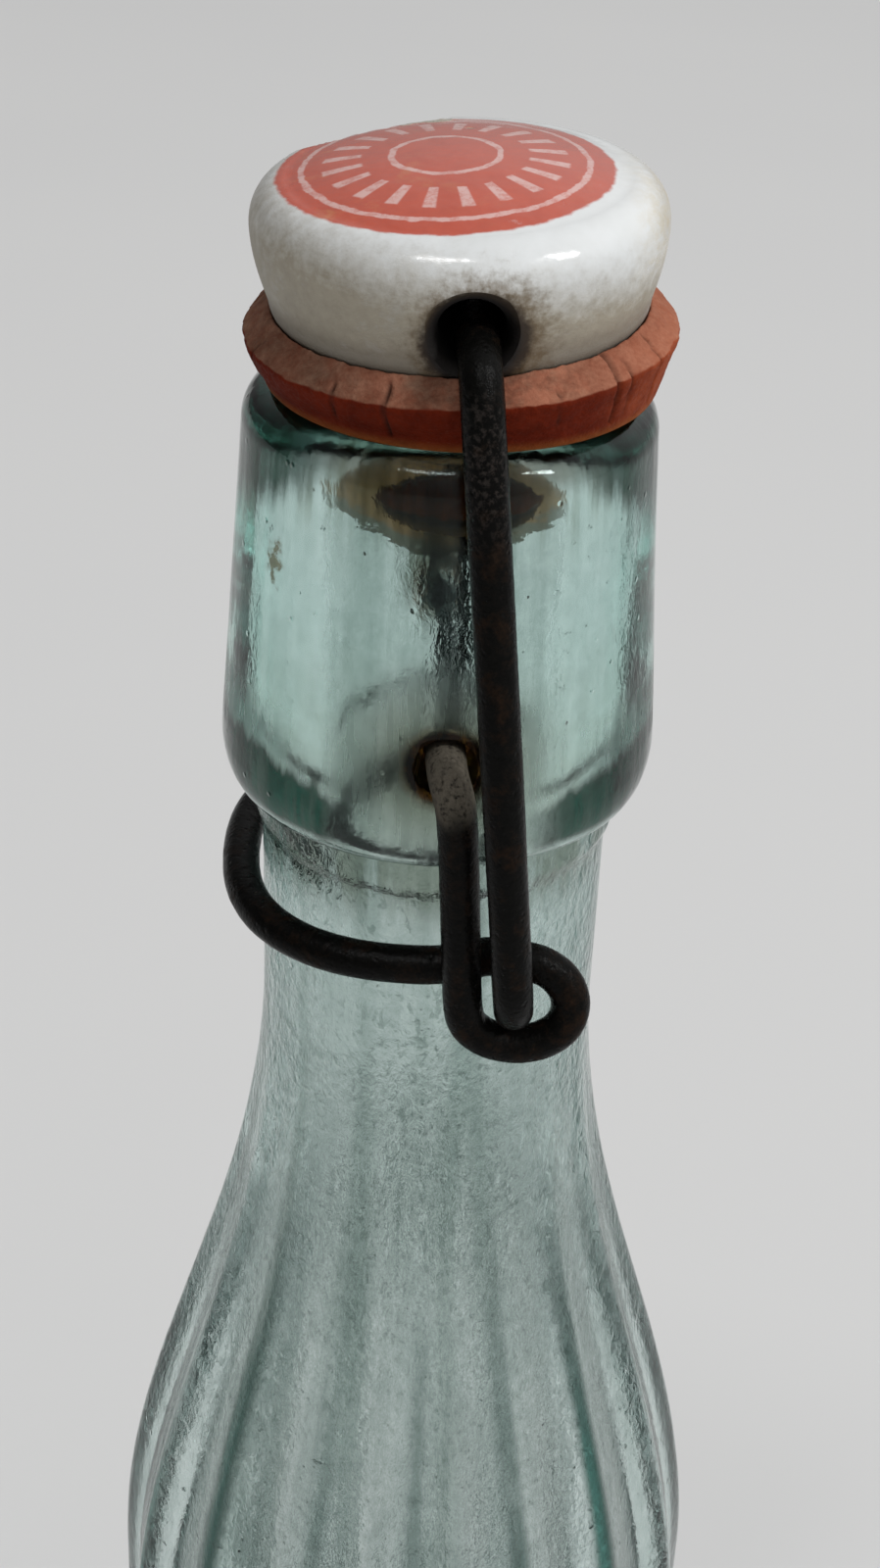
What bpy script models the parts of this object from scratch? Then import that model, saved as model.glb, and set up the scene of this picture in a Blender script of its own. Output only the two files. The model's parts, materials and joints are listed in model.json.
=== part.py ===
"""Swing-top seltzer bottle: fluted glass bottle, porcelain stopper, rubber gasket, yoke wire and lever wire.

Metres, +Z up, origin at the centre of the base. The closure's axes run along Y, and the lever's bow lies
on the -X side of the neck. The solids stand in the closed, locked position.
"""

import math

import bmesh
import bpy
from mathutils import Matrix, Vector

# Running clearance between pieces that touch on the real object
FIT = 0.0003
# How far a cutter runs past what it cuts
OVERRUN = 0.002

# Glass, from the base up
STANDING_RING_WIDTH = 0.0031
PUSH_UP_HEIGHT = 0.0042
HEEL_ROUND = 0.0050
HEEL_HEIGHT = 0.0200
BODY_RADIUS = 0.0247
HEEL_STEP = 0.0004
BODY_HEIGHT = 0.0780
SHOULDER_HEIGHT = 0.0640
NECK_RADIUS = 0.01235
NECK_HEIGHT = 0.0140
BEAD_RADIUS = 0.01295
BEAD_HEIGHT = 0.0040
BLOB_FOOT_RADIUS = 0.0139
BLOB_RADIUS = 0.0152
BLOB_FOOT_HEIGHT = 0.0034
BLOB_TOP_RADIUS = 0.01375
BLOB_HEIGHT = 0.0288
LIP_OUTER_ROUND = 0.0026
LIP_INNER_ROUND = 0.0020
BORE_RADIUS = 0.0082
NECK_WALL = 0.0038
BODY_WALL = 0.0030
FLOOR_THICKNESS = 0.0065
FLOOR_ROUND = 0.0080

# Flutes of the body
FLUTE_COUNT = 16
FLUTE_DEPTH = 0.0012
FLUTE_TOP_FADE = 0.0460
FLUTE_BOTTOM_FADE = 0.0090

# Wire and the closure's axes, measured from the ring under the blob
WIRE_DIAMETER = 0.0027
PIVOT_HEIGHT = 0.0084
PIVOT_HOLE_RADIUS = 0.0024
PIVOT_HOLE_END_RADIUS = 0.00175
PIVOT_HOLE_DEPTH = 0.0040
PIN_BEND_RADIUS = 0.0019
LEG_TOP_X = 0.0008
LOOP_AXIS_X = 0.0052
LOOP_AXIS_DROP = 0.0096
LOOP_LEFT_REACH = 0.00345
LOOP_RIGHT_REACH = 0.00405
LOOP_PLAY = 0.0006
BOW_DROP = 0.0081
LOOP_HELD_SHARE = 0.45
LOOP_INWARD_SHARE = 0.55
ARM_INWARD_SHARE = 0.45
BOW_SQUARENESS = 2.4
FOOT_BEND_RADIUS = 0.0040
FOOT_END_GAP = 0.0011
BAR_X = 0.00095
BAR_HEIGHT = 0.0359
YOKE_SHOULDER_RADIUS = 0.0032
YOKE_SPLAY_DROP = 0.0243

# Stopper, measured from its wire bar
STOPPER_LEAN = math.radians(-2.6)
STOPPER_TILT = math.radians(2.2)
STOPPER_OFFSET = 0.00075
STOPPER_RADIUS = 0.01325
STOPPER_SEAT_RADIUS = 0.0123
STOPPER_SEAT_DROP = 0.0026
STOPPER_STEM_DROP = 0.0036
STOPPER_SEAT_ROUND = 0.0019
STOPPER_CONE_HEIGHT = 0.0047
STOPPER_SHOULDER_HEIGHT = 0.0027
STOPPER_DOME_RADIUS = 0.0107
STOPPER_DOME_RISE = 0.0014
STEM_RADIUS = 0.0052
NOSE_RADIUS = 0.0058
NOSE_LENGTH = 0.0016
NOSE_ROUND = 0.0012
CROSS_HOLE_RADIUS = 0.0021
CROSS_HOLE_OFFSET = 0.0003
CROSS_HOLE_MOUTH_RADIUS = 0.0025
CROSS_HOLE_MOUTH_DEPTH = 0.0012

# Gasket: the lift over the lip is the dip that the plug makes as the lever passes its dead point
GASKET_RIM_RADIUS = 0.01424
GASKET_FOOT_RADIUS = 0.01285
GASKET_SEAT_LIFT = 0.0007
GASKET_RIM_DROP = 0.0032
GASKET_DISH_END = -45
GASKET_EDGE = 0.0006
GASKET_CONE_HEIGHT = 0.0008
GASKET_COLLAR_RADIUS = 0.0070
GASKET_COLLAR_END_RADIUS = 0.0063
GASKET_COLLAR_HEIGHT = 0.0070
GASKET_SEAT_INNER_RADIUS = 0.0098

# Foot of the glass, outside the body
HEEL_RADIUS = BODY_RADIUS + HEEL_STEP
STANDING_INNER_RADIUS = HEEL_RADIUS - HEEL_ROUND - STANDING_RING_WIDTH

# Heights over the base
BODY_BOTTOM = HEEL_HEIGHT
BODY_TOP = BODY_BOTTOM + BODY_HEIGHT
SHOULDER_TOP = BODY_TOP + SHOULDER_HEIGHT
NECK_TOP = SHOULDER_TOP + NECK_HEIGHT
RING_Z = NECK_TOP + BEAD_HEIGHT
LIP_Z = RING_Z + BLOB_HEIGHT
PIVOT_Z = RING_Z + PIVOT_HEIGHT
LOOP_Z = RING_Z - LOOP_AXIS_DROP
BAR_Z = RING_Z + BAR_HEIGHT

# Sideways places of the wires, each outside what it passes
WIRE_RADIUS = WIRE_DIAMETER / 2
LEG_Y = BLOB_RADIUS + FIT + WIRE_RADIUS
YOKE_Y = LEG_Y + WIRE_DIAMETER + FIT
BOW_RADIUS = NECK_RADIUS + FIT + WIRE_RADIUS
YOKE_TOP_Y = GASKET_RIM_RADIUS + FIT + WIRE_RADIUS
BOW_Y = LEG_Y - WIRE_DIAMETER - FIT / 3

# Facets
GLASS_FACETS = FLUTE_COUNT * 5
TURNED_FACETS = 48
HOLE_FACETS = 20
ROUND_STEPS = 4
BEND_STEPS = 5
LOOP_STEPS = 20
ARM_STEPS = 6
BOW_STEPS = 22
WIRE_SIDES_RESOLUTION = 2


def clear_scene():
    for obj in list(bpy.data.objects):
        bpy.data.objects.remove(obj, do_unlink=True)


def material(name, colour, roughness, metallic=0.0, transmission=0.0, ior=1.5):
    made = bpy.data.materials.new(name)
    made.use_nodes = True
    shader = made.node_tree.nodes["Principled BSDF"]
    shader.inputs["Base Color"].default_value = (*colour, 1)
    shader.inputs["Roughness"].default_value = roughness
    shader.inputs["Metallic"].default_value = metallic
    shader.inputs["Transmission Weight"].default_value = transmission
    shader.inputs["IOR"].default_value = ior
    made.diffuse_color = (*colour, 1)
    return made


def link(obj, surface, parent=None):
    bpy.context.scene.collection.objects.link(obj)
    obj.data.materials.append(surface)
    obj.parent = parent
    return obj


def axis_empty(name, place, parent=None):
    """An empty on a joint's axis. The place is in world coordinates; its parent's is taken off."""
    empty = bpy.data.objects.new(name, None)
    bpy.context.scene.collection.objects.link(empty)
    empty.empty_display_size = WIRE_DIAMETER
    base = Vector()
    if parent:
        base = parent["place"]
        empty.parent = parent
    empty["place"] = place
    empty.location = Vector(place) - Vector(base)
    return empty


def smooth_share(share):
    """Half a cosine wave from 0 to 1, level at both ends."""
    held = min(max(share, 0.0), 1.0)
    return (1 - math.cos(math.pi * held)) / 2


def quarter_round(centre, radius, start, end, steps=ROUND_STEPS):
    """Points (radius, height) on an arc about centre, from one angle in degrees to another."""
    points = []
    for step in range(steps + 1):
        angle = math.radians(start + (end - start) * step / steps)
        points.append((centre[0] + radius * math.cos(angle), centre[1] + radius * math.sin(angle)))
    return points


def lathe(name, outline, facets, radius_at=None):
    """Turns an outline of (radius, height) points, which starts and ends on the axis, into a closed mesh."""
    bm = bmesh.new()
    rows = []
    for radius, height in outline:
        if radius == 0:
            rows.append([bm.verts.new((0, 0, height))])
            continue
        row = []
        for step in range(facets):
            angle = 2 * math.pi * step / facets
            reach = radius_at(radius, height, angle) if radius_at else radius
            row.append(bm.verts.new((reach * math.cos(angle), reach * math.sin(angle), height)))
        rows.append(row)
    for low, high in zip(rows, rows[1:]):
        for step in range(facets):
            after = (step + 1) % facets
            under = (low[step % len(low)], low[after % len(low)])
            over = (high[after % len(high)], high[step % len(high)])
            bm.faces.new(list(dict.fromkeys(under + over)))
    bmesh.ops.recalc_face_normals(bm, faces=bm.faces)
    mesh = bpy.data.meshes.new(name)
    bm.to_mesh(mesh)
    bm.free()
    mesh.shade_smooth()
    mesh.set_sharp_from_angle(angle=math.radians(38))
    return mesh


def cone_cutter(name, start, end, start_radius, end_radius, parent=None):
    """A tapered round cutter between two points, kept out of the model."""
    bm = bmesh.new()
    along = Vector(end) - Vector(start)
    turned = Vector((0, 0, 1)).rotation_difference(along).to_matrix().to_4x4()
    bmesh.ops.create_cone(
        bm,
        cap_ends=True,
        segments=HOLE_FACETS,
        radius1=start_radius,
        radius2=end_radius,
        depth=along.length,
        matrix=Matrix.Translation((Vector(start) + Vector(end)) / 2) @ turned,
    )
    mesh = bpy.data.meshes.new(name)
    bm.to_mesh(mesh)
    bm.free()
    cutter = bpy.data.objects.new(name, mesh)
    bpy.context.scene.collection.objects.link(cutter)
    cutter.parent = parent
    cutter.hide_render = True
    cutter.display_type = "WIRE"
    return cutter


def cut(obj, cutter):
    boolean = obj.modifiers.new("Cut " + cutter.name, "BOOLEAN")
    boolean.operation = "DIFFERENCE"
    boolean.solver = "EXACT"
    boolean.object = cutter


def wire(name, route, surface, parent):
    """A round wire along a route of points, with flat cut ends."""
    curve = bpy.data.curves.new(name, "CURVE")
    curve.dimensions = "3D"
    curve.bevel_depth = WIRE_RADIUS
    curve.bevel_resolution = WIRE_SIDES_RESOLUTION
    curve.use_fill_caps = True
    spline = curve.splines.new("POLY")
    spline.points.add(len(route) - 1)
    for point, place in zip(spline.points, route):
        point.co = (*place, 1)
    spline.use_smooth = True
    return link(bpy.data.objects.new(name, curve), surface, parent)


def mirrored_route(half):
    """The half route from the -Y end to the middle, then the same on the +Y side."""
    other = [Vector((place.x, -place.y, place.z)) for place in reversed(half)]
    return half + other[1:]


def eased(route, passes=2):
    """Rounds the small angles where lines and arcs meet, with both ends held."""
    for _ in range(passes):
        inner = [(a + 2 * b + c) / 4 for a, b, c in zip(route, route[1:], route[2:])]
        route = [route[0], *inner, route[-1]]
    return route


def straight(start, end, steps):
    return [Vector(start).lerp(Vector(end), step / steps) for step in range(1, steps + 1)]


def outer_radius(height):
    """The glass outside, over the ridges, from the heel to the neck."""
    rise = smooth_share((height - BODY_TOP) / SHOULDER_HEIGHT)
    heel = smooth_share((height - BODY_BOTTOM + FLUTE_BOTTOM_FADE) / FLUTE_BOTTOM_FADE)
    body = HEEL_RADIUS + (BODY_RADIUS - HEEL_RADIUS) * heel
    return body + (NECK_RADIUS - body) * rise


def inner_radius(height):
    rise = smooth_share((height - BODY_TOP) / SHOULDER_HEIGHT)
    wall = BODY_WALL + (NECK_WALL - BODY_WALL) * rise
    return min(outer_radius(height), BODY_RADIUS) - wall


def flute_depth(height):
    """Full on the body, fading out on the heel and up the shoulder."""
    below = smooth_share((height - BODY_BOTTOM + FLUTE_BOTTOM_FADE / 2) / FLUTE_BOTTOM_FADE)
    above = smooth_share((SHOULDER_TOP - height) / FLUTE_TOP_FADE)
    return FLUTE_DEPTH * below * above


def fluted_radius(radius, height, angle):
    """Concave flutes between narrow ridges, on the outside only; a ridge faces each pivot hole."""
    if not HEEL_ROUND < height < SHOULDER_TOP or radius < outer_radius(height) - FIT:
        return radius
    share = (angle - math.pi / 2) * FLUTE_COUNT / (2 * math.pi) % 1.0
    return radius - flute_depth(height) * math.sin(math.pi * share)


def levels(bottom, top, count):
    return [bottom + (top - bottom) * step / count for step in range(count + 1)]


def glass_outline():
    """From the middle of the push-up, round the heel, up the outside, over the lip and down the inside."""
    outline = [(0, PUSH_UP_HEIGHT)]
    for share in (0.45, 0.75, 0.93):
        outline.append((STANDING_INNER_RADIUS * share, PUSH_UP_HEIGHT * (1 - share**2)))
    outline.append((STANDING_INNER_RADIUS, 0))
    outline += quarter_round((HEEL_RADIUS - HEEL_ROUND, HEEL_ROUND), HEEL_ROUND, -90, 0)
    fade_bottom = BODY_BOTTOM - FLUTE_BOTTOM_FADE / 2
    heights = levels(fade_bottom, fade_bottom + FLUTE_BOTTOM_FADE, 4) + levels(BODY_TOP, SHOULDER_TOP, 12)
    outline += [(outer_radius(height), height) for height in heights]
    outline.append((NECK_RADIUS, NECK_TOP))
    outline.append((BEAD_RADIUS, NECK_TOP + (BEAD_RADIUS - NECK_RADIUS) * 2))
    outline.append((BEAD_RADIUS, RING_Z))
    for share in (0, 0.15, 0.45, 1):
        bulge = math.sqrt(1 - (1 - share) ** 2)
        reach = BLOB_FOOT_RADIUS + (BLOB_RADIUS - BLOB_FOOT_RADIUS) * bulge
        outline.append((reach, RING_Z + BLOB_FOOT_HEIGHT * share))
    outer_corner = (BLOB_TOP_RADIUS - LIP_OUTER_ROUND, LIP_Z - LIP_OUTER_ROUND)
    outline += quarter_round(outer_corner, LIP_OUTER_ROUND, 0, 90)
    inner_corner = (BORE_RADIUS + LIP_INNER_ROUND, LIP_Z - LIP_INNER_ROUND)
    outline += quarter_round(inner_corner, LIP_INNER_ROUND, 90, 180, 3)
    outline.append((BORE_RADIUS, NECK_TOP))
    for height in reversed(levels(BODY_TOP, SHOULDER_TOP, 6)):
        outline.append((inner_radius(height), height))
    inner_foot = inner_radius(BODY_BOTTOM)
    floor_corner = (inner_foot - FLOOR_ROUND, FLOOR_THICKNESS + FLOOR_ROUND)
    outline += quarter_round(floor_corner, FLOOR_ROUND, 0, -90, 3)
    outline.append((0, FLOOR_THICKNESS + PUSH_UP_HEIGHT / 2))
    return outline


def glass_bottle(surface):
    mesh = lathe("glass_bottle", glass_outline(), GLASS_FACETS, fluted_radius)
    bottle = link(bpy.data.objects.new("glass_bottle", mesh), surface)
    for side in (-1, 1):
        mouth = Vector((0, side * (BLOB_RADIUS + OVERRUN), PIVOT_Z))
        end = Vector((0, side * (BLOB_RADIUS - PIVOT_HOLE_DEPTH), PIVOT_Z))
        widening = (PIVOT_HOLE_RADIUS - PIVOT_HOLE_END_RADIUS) / PIVOT_HOLE_DEPTH
        mouth_radius = PIVOT_HOLE_RADIUS + widening * OVERRUN
        name = "pivot_hole_cutter_front" if side < 0 else "pivot_hole_cutter_back"
        cut(bottle, cone_cutter(name, end, mouth, PIVOT_HOLE_END_RADIUS, mouth_radius))
    return bottle


def lever_half_route():
    """From the pin in the -Y pivot hole down the leg, round the eye loop, and along the bow to its middle."""
    pin_tip = BLOB_RADIUS - PIVOT_HOLE_DEPTH + FIT
    bend_y = -(LEG_Y - PIN_BEND_RADIUS)
    route = [Vector((0, -pin_tip, PIVOT_Z)), Vector((0, (bend_y - pin_tip) / 2, PIVOT_Z))]
    for step in range(BEND_STEPS + 1):
        turn = math.pi / 2 * step / BEND_STEPS
        bent = 1 - math.cos(turn)
        y = bend_y - PIN_BEND_RADIUS * math.sin(turn)
        route.append(Vector((LEG_TOP_X * bent, y, PIVOT_Z - PIN_BEND_RADIUS * bent)))
    loop_left = LOOP_AXIS_X - LOOP_LEFT_REACH
    loop_half_height = (WIRE_DIAMETER + LOOP_PLAY + WIRE_DIAMETER) / 2
    route += straight(route[-1], (loop_left, -LEG_Y, LOOP_Z), 5)
    loop_centre = LOOP_AXIS_X + (LOOP_RIGHT_REACH - LOOP_LEFT_REACH) / 2
    loop_half_width = (LOOP_RIGHT_REACH + LOOP_LEFT_REACH) / 2
    for step in range(1, LOOP_STEPS + 1):
        share = step / LOOP_STEPS
        turn = math.pi + 3 * math.pi / 2 * share
        x = loop_centre + loop_half_width * math.cos(turn)
        z = LOOP_Z + loop_half_height * math.sin(turn)
        inward = LOOP_INWARD_SHARE * smooth_share((share - LOOP_HELD_SHARE) / (1 - LOOP_HELD_SHARE))
        route.append(Vector((x, -(LEG_Y + (BOW_Y - LEG_Y) * inward), z)))
    top = route[-1]
    bow_z = RING_Z - BOW_DROP
    for step in range(1, ARM_STEPS + 1):
        share = step / ARM_STEPS
        drop = (bow_z - top.z) * smooth_share(share)
        inward = smooth_share(share / ARM_INWARD_SHARE)
        y = top.y + (-BOW_Y - top.y) * inward
        route.append(Vector((top.x * (1 - share), y, top.z + drop)))
    for step in range(1, BOW_STEPS + 1):
        turn = math.pi / 2 * step / BOW_STEPS
        x = -BOW_RADIUS * math.sin(turn) ** (2 / BOW_SQUARENESS)
        y = -BOW_Y * math.cos(turn) ** (2 / BOW_SQUARENESS) if step < BOW_STEPS else 0
        route.append(Vector((x, y, bow_z)))
    return route


def lever_wire(surface, axis):
    """One wire: two pins, two legs, two eye loops and the bow, in the lever's own frame."""
    route = eased(mirrored_route(lever_half_route()))
    at_axis = Vector((0, 0, PIVOT_Z))
    return wire("lever_wire", [place - at_axis for place in route], surface, axis)


def yoke_half_route():
    """From the foot's tip inside the -Y loop to the leg, up it, and over the shoulder to the bar's middle."""
    foot_tip = -(math.sqrt(NECK_RADIUS**2 - LOOP_AXIS_X**2) + FOOT_END_GAP + FIT)
    bend_y = -(YOKE_Y - FOOT_BEND_RADIUS)
    route = [Vector((LOOP_AXIS_X, foot_tip, LOOP_Z))]
    for step in range(BEND_STEPS + 2):
        turn = math.pi / 2 * step / (BEND_STEPS + 1)
        route.append(
            Vector(
                (
                    LOOP_AXIS_X,
                    bend_y - FOOT_BEND_RADIUS * math.sin(turn),
                    LOOP_Z + FOOT_BEND_RADIUS * (1 - math.cos(turn)),
                )
            )
        )
    shoulder_z = BAR_Z - YOKE_SHOULDER_RADIUS
    splay_z = shoulder_z - YOKE_SPLAY_DROP
    route += straight(route[-1], (LOOP_AXIS_X, -YOKE_Y, splay_z), 3)
    route += straight(route[-1], (LOOP_AXIS_X, -YOKE_TOP_Y, shoulder_z), 5)
    for step in range(1, BEND_STEPS + 1):
        turn = math.pi / 2 * step / BEND_STEPS
        y = -(YOKE_TOP_Y - YOKE_SHOULDER_RADIUS) - YOKE_SHOULDER_RADIUS * math.cos(turn)
        route.append(Vector((LOOP_AXIS_X, y, shoulder_z + YOKE_SHOULDER_RADIUS * math.sin(turn))))
    route += straight(route[-1], (LOOP_AXIS_X, 0, BAR_Z), 2)
    leaned = []
    for place in route:
        share = (place.z - LOOP_Z) / (BAR_Z - LOOP_Z)
        leaned.append(Vector((place.x + (BAR_X - LOOP_AXIS_X) * share, place.y, place.z)))
    return leaned


def yoke_wire(surface, axis):
    """One wire: the bar through the stopper, two legs and two feet, in the yoke's own frame."""
    route = eased(mirrored_route(yoke_half_route()), 1)
    at_axis = Vector((LOOP_AXIS_X, 0, LOOP_Z))
    return wire("yoke_wire", [place - at_axis for place in route], surface, axis)


def foot_centre():
    """Where the round of the stopper's foot has its centre, from the bar."""
    return STOPPER_SEAT_RADIUS - STOPPER_SEAT_ROUND, STOPPER_SEAT_ROUND - STOPPER_SEAT_DROP


def stopper_outline():
    """From the nose's end up the stem, along the coned seat, up the cone and over the dome; bar at zero."""
    seat = -STOPPER_SEAT_DROP
    nose_top = gasket_end_height() - FIT
    nose_end = nose_top - NOSE_LENGTH
    outline = [(0, nose_end)]
    outline += quarter_round((NOSE_RADIUS - NOSE_ROUND, nose_end + NOSE_ROUND), NOSE_ROUND, -90, 0, 3)
    outline.append((NOSE_RADIUS, nose_top - NOSE_ROUND / 2))
    outline.append((STEM_RADIUS, nose_top))
    outline.append((STEM_RADIUS, -STOPPER_STEM_DROP))
    outline += quarter_round(foot_centre(), STOPPER_SEAT_ROUND, -90, -10, 3)
    cone_z = seat + STOPPER_SEAT_ROUND
    for share in (0.3, 0.6, 1):
        swell = STOPPER_SEAT_RADIUS + (STOPPER_RADIUS - STOPPER_SEAT_RADIUS) * math.sin(math.pi / 2 * share)
        outline.append((swell, cone_z + STOPPER_CONE_HEIGHT * share))
    rim_z = cone_z + STOPPER_CONE_HEIGHT
    for step in range(1, ROUND_STEPS + 1):
        turn = math.pi / 2 * step / ROUND_STEPS
        reach = STOPPER_DOME_RADIUS + (STOPPER_RADIUS - STOPPER_DOME_RADIUS) * math.cos(turn)
        outline.append((reach, rim_z + STOPPER_SHOULDER_HEIGHT * math.sin(turn)))
    dome_z = rim_z + STOPPER_SHOULDER_HEIGHT
    for share in (0.7, 0.38):
        outline.append((STOPPER_DOME_RADIUS * share, dome_z + STOPPER_DOME_RISE * (1 - share**2)))
    outline.append((0, dome_z + STOPPER_DOME_RISE))
    return outline


def porcelain_stopper(surface, axis):
    """The crooked plug beside its bar, which lies low in the cross hole; the hole's mouths are flared."""
    mesh = lathe("porcelain_stopper", stopper_outline(), TURNED_FACETS)
    stopper = link(bpy.data.objects.new("porcelain_stopper", mesh), surface, axis)
    stopper.location.x = -STOPPER_OFFSET
    stopper.rotation_euler.x = STOPPER_TILT
    hole_x = -CROSS_HOLE_OFFSET
    hole_z = math.sqrt((CROSS_HOLE_RADIUS - WIRE_RADIUS - FIT) ** 2 - CROSS_HOLE_OFFSET**2)
    reach = STOPPER_RADIUS + OVERRUN
    bore = ((hole_x, -reach, hole_z), (hole_x, reach, hole_z))
    cut(stopper, cone_cutter("cross_hole_cutter", *bore, CROSS_HOLE_RADIUS, CROSS_HOLE_RADIUS, axis))
    widening = (CROSS_HOLE_MOUTH_RADIUS - CROSS_HOLE_RADIUS) / CROSS_HOLE_MOUTH_DEPTH
    flare_start = STOPPER_SEAT_RADIUS - CROSS_HOLE_MOUTH_DEPTH / 2 - OVERRUN
    flare_start_radius = CROSS_HOLE_RADIUS - widening * OVERRUN
    flare_end_radius = flare_start_radius + widening * (reach - flare_start)
    for side, name in ((-1, "cross_hole_mouth_cutter_front"), (1, "cross_hole_mouth_cutter_back")):
        inner = (hole_x, side * flare_start, hole_z)
        outer = (hole_x, side * reach, hole_z)
        cut(stopper, cone_cutter(name, inner, outer, flare_start_radius, flare_end_radius, axis))
    return stopper


def gasket_seat_height():
    """The gasket's underside over the lip, from the stopper's bar."""
    return LIP_Z + GASKET_SEAT_LIFT - BAR_Z


def gasket_end_height():
    return gasket_seat_height() - GASKET_COLLAR_HEIGHT


def gasket_outline():
    """A closed section, from the bore's top over the dish, round the rim, and along the seat and collar."""
    bore = STEM_RADIUS + FIT
    foot_radius, _ = foot_centre()
    slope = (STOPPER_STEM_DROP - STOPPER_SEAT_DROP) / (foot_radius - STEM_RADIUS)
    dish = quarter_round(foot_centre(), STOPPER_SEAT_ROUND + FIT, -90, GASKET_DISH_END, 2)
    rim = -GASKET_RIM_DROP
    seat = gasket_seat_height()
    end = gasket_end_height()
    return [
        (bore, dish[0][1] - slope * (foot_radius - bore)),
        *dish,
        (GASKET_RIM_RADIUS - GASKET_EDGE / 4, rim),
        (GASKET_RIM_RADIUS, rim - GASKET_EDGE / 2),
        (GASKET_RIM_RADIUS - GASKET_EDGE / 6, rim - GASKET_EDGE),
        (GASKET_FOOT_RADIUS, seat + GASKET_EDGE / 4),
        (GASKET_FOOT_RADIUS - GASKET_EDGE / 4, seat),
        (GASKET_SEAT_INNER_RADIUS, seat),
        (GASKET_COLLAR_RADIUS, seat - GASKET_CONE_HEIGHT),
        (GASKET_COLLAR_END_RADIUS, end),
        (bore, end),
    ]


def rubber_gasket(surface, axis):
    """A ring whose top leans with the stopper and whose seat is pressed level."""
    bm = bmesh.new()
    outline = gasket_outline()
    rows = []
    free = outline[0][1]
    seat = gasket_seat_height()
    for step in range(TURNED_FACETS):
        angle = 2 * math.pi * step / TURNED_FACETS
        row = []
        for radius, height in outline:
            x = radius * math.cos(angle)
            y = radius * math.sin(angle)
            crooked = (x - STOPPER_OFFSET) * math.tan(STOPPER_LEAN) - y * math.tan(STOPPER_TILT)
            above = smooth_share((free - height) / (free - seat))
            below = smooth_share((height - seat + GASKET_COLLAR_HEIGHT) / GASKET_COLLAR_HEIGHT)
            row.append(bm.verts.new((x, y, height + crooked * min(above, below))))
        rows.append(row)
    for row, after in zip(rows, rows[1:] + rows[:1]):
        for point in range(len(outline)):
            other = (point + 1) % len(outline)
            bm.faces.new((row[point], row[other], after[other], after[point]))
    bmesh.ops.recalc_face_normals(bm, faces=bm.faces)
    mesh = bpy.data.meshes.new("rubber_gasket")
    bm.to_mesh(mesh)
    bm.free()
    mesh.shade_smooth()
    mesh.set_sharp_from_angle(angle=math.radians(38))
    gasket = link(bpy.data.objects.new("rubber_gasket", mesh), surface, axis)
    gasket.location.x = -STOPPER_OFFSET
    gasket.rotation_euler.x = STOPPER_TILT
    return gasket


def main():
    clear_scene()
    glass = material("aqua_glass", (0.62, 0.80, 0.76), 0.05, transmission=1.0, ior=1.5)
    porcelain = material("white_glazed_porcelain", (0.83, 0.82, 0.78), 0.18)
    rubber = material("aged_red_rubber", (0.42, 0.11, 0.06), 0.75)
    iron = material("dark_iron_wire", (0.045, 0.035, 0.03), 0.45, metallic=0.8)

    glass_bottle(glass)
    lever_axis = axis_empty("lever_axis", (0, 0, PIVOT_Z))
    lever_wire(iron, lever_axis)
    yoke_axis = axis_empty("yoke_axis", (LOOP_AXIS_X, 0, LOOP_Z), lever_axis)
    yoke_wire(iron, yoke_axis)
    stopper_axis = axis_empty("stopper_axis", (BAR_X, 0, BAR_Z), yoke_axis)
    stopper_axis.rotation_euler.y = STOPPER_LEAN
    porcelain_stopper(porcelain, stopper_axis)
    rubber_gasket(rubber, stopper_axis)


main()
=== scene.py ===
"""Visual model of a small swing-top bottle: fluted aqua glass, porcelain stopper, red gasket, iron wires.

Everything stands in the frame's metres: +Z up, the closure's hinges along Y, the lever's bow at -X.
Named lengths and the lengths inside the materials are in millimetres.
"""

import json
import math

import bmesh
import bpy
import numpy as np
from mathutils import Matrix, Vector
from mathutils import noise as mnoise


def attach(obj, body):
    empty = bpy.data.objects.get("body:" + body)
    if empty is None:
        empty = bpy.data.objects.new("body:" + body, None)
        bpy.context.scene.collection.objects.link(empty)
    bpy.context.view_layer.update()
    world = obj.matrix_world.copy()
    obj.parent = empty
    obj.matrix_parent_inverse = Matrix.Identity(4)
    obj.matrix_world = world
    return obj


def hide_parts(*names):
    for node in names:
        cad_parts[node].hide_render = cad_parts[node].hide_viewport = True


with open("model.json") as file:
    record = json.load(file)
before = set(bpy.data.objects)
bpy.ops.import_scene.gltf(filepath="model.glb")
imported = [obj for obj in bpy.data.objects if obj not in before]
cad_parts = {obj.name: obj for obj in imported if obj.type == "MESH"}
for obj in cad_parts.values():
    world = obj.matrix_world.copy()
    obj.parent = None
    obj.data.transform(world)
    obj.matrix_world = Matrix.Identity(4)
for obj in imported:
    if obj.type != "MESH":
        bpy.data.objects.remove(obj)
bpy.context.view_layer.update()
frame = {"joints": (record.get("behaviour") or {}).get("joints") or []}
joints = {joint["name"]: joint for joint in frame["joints"]}
scene = bpy.context.scene

MM = 0.001

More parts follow.
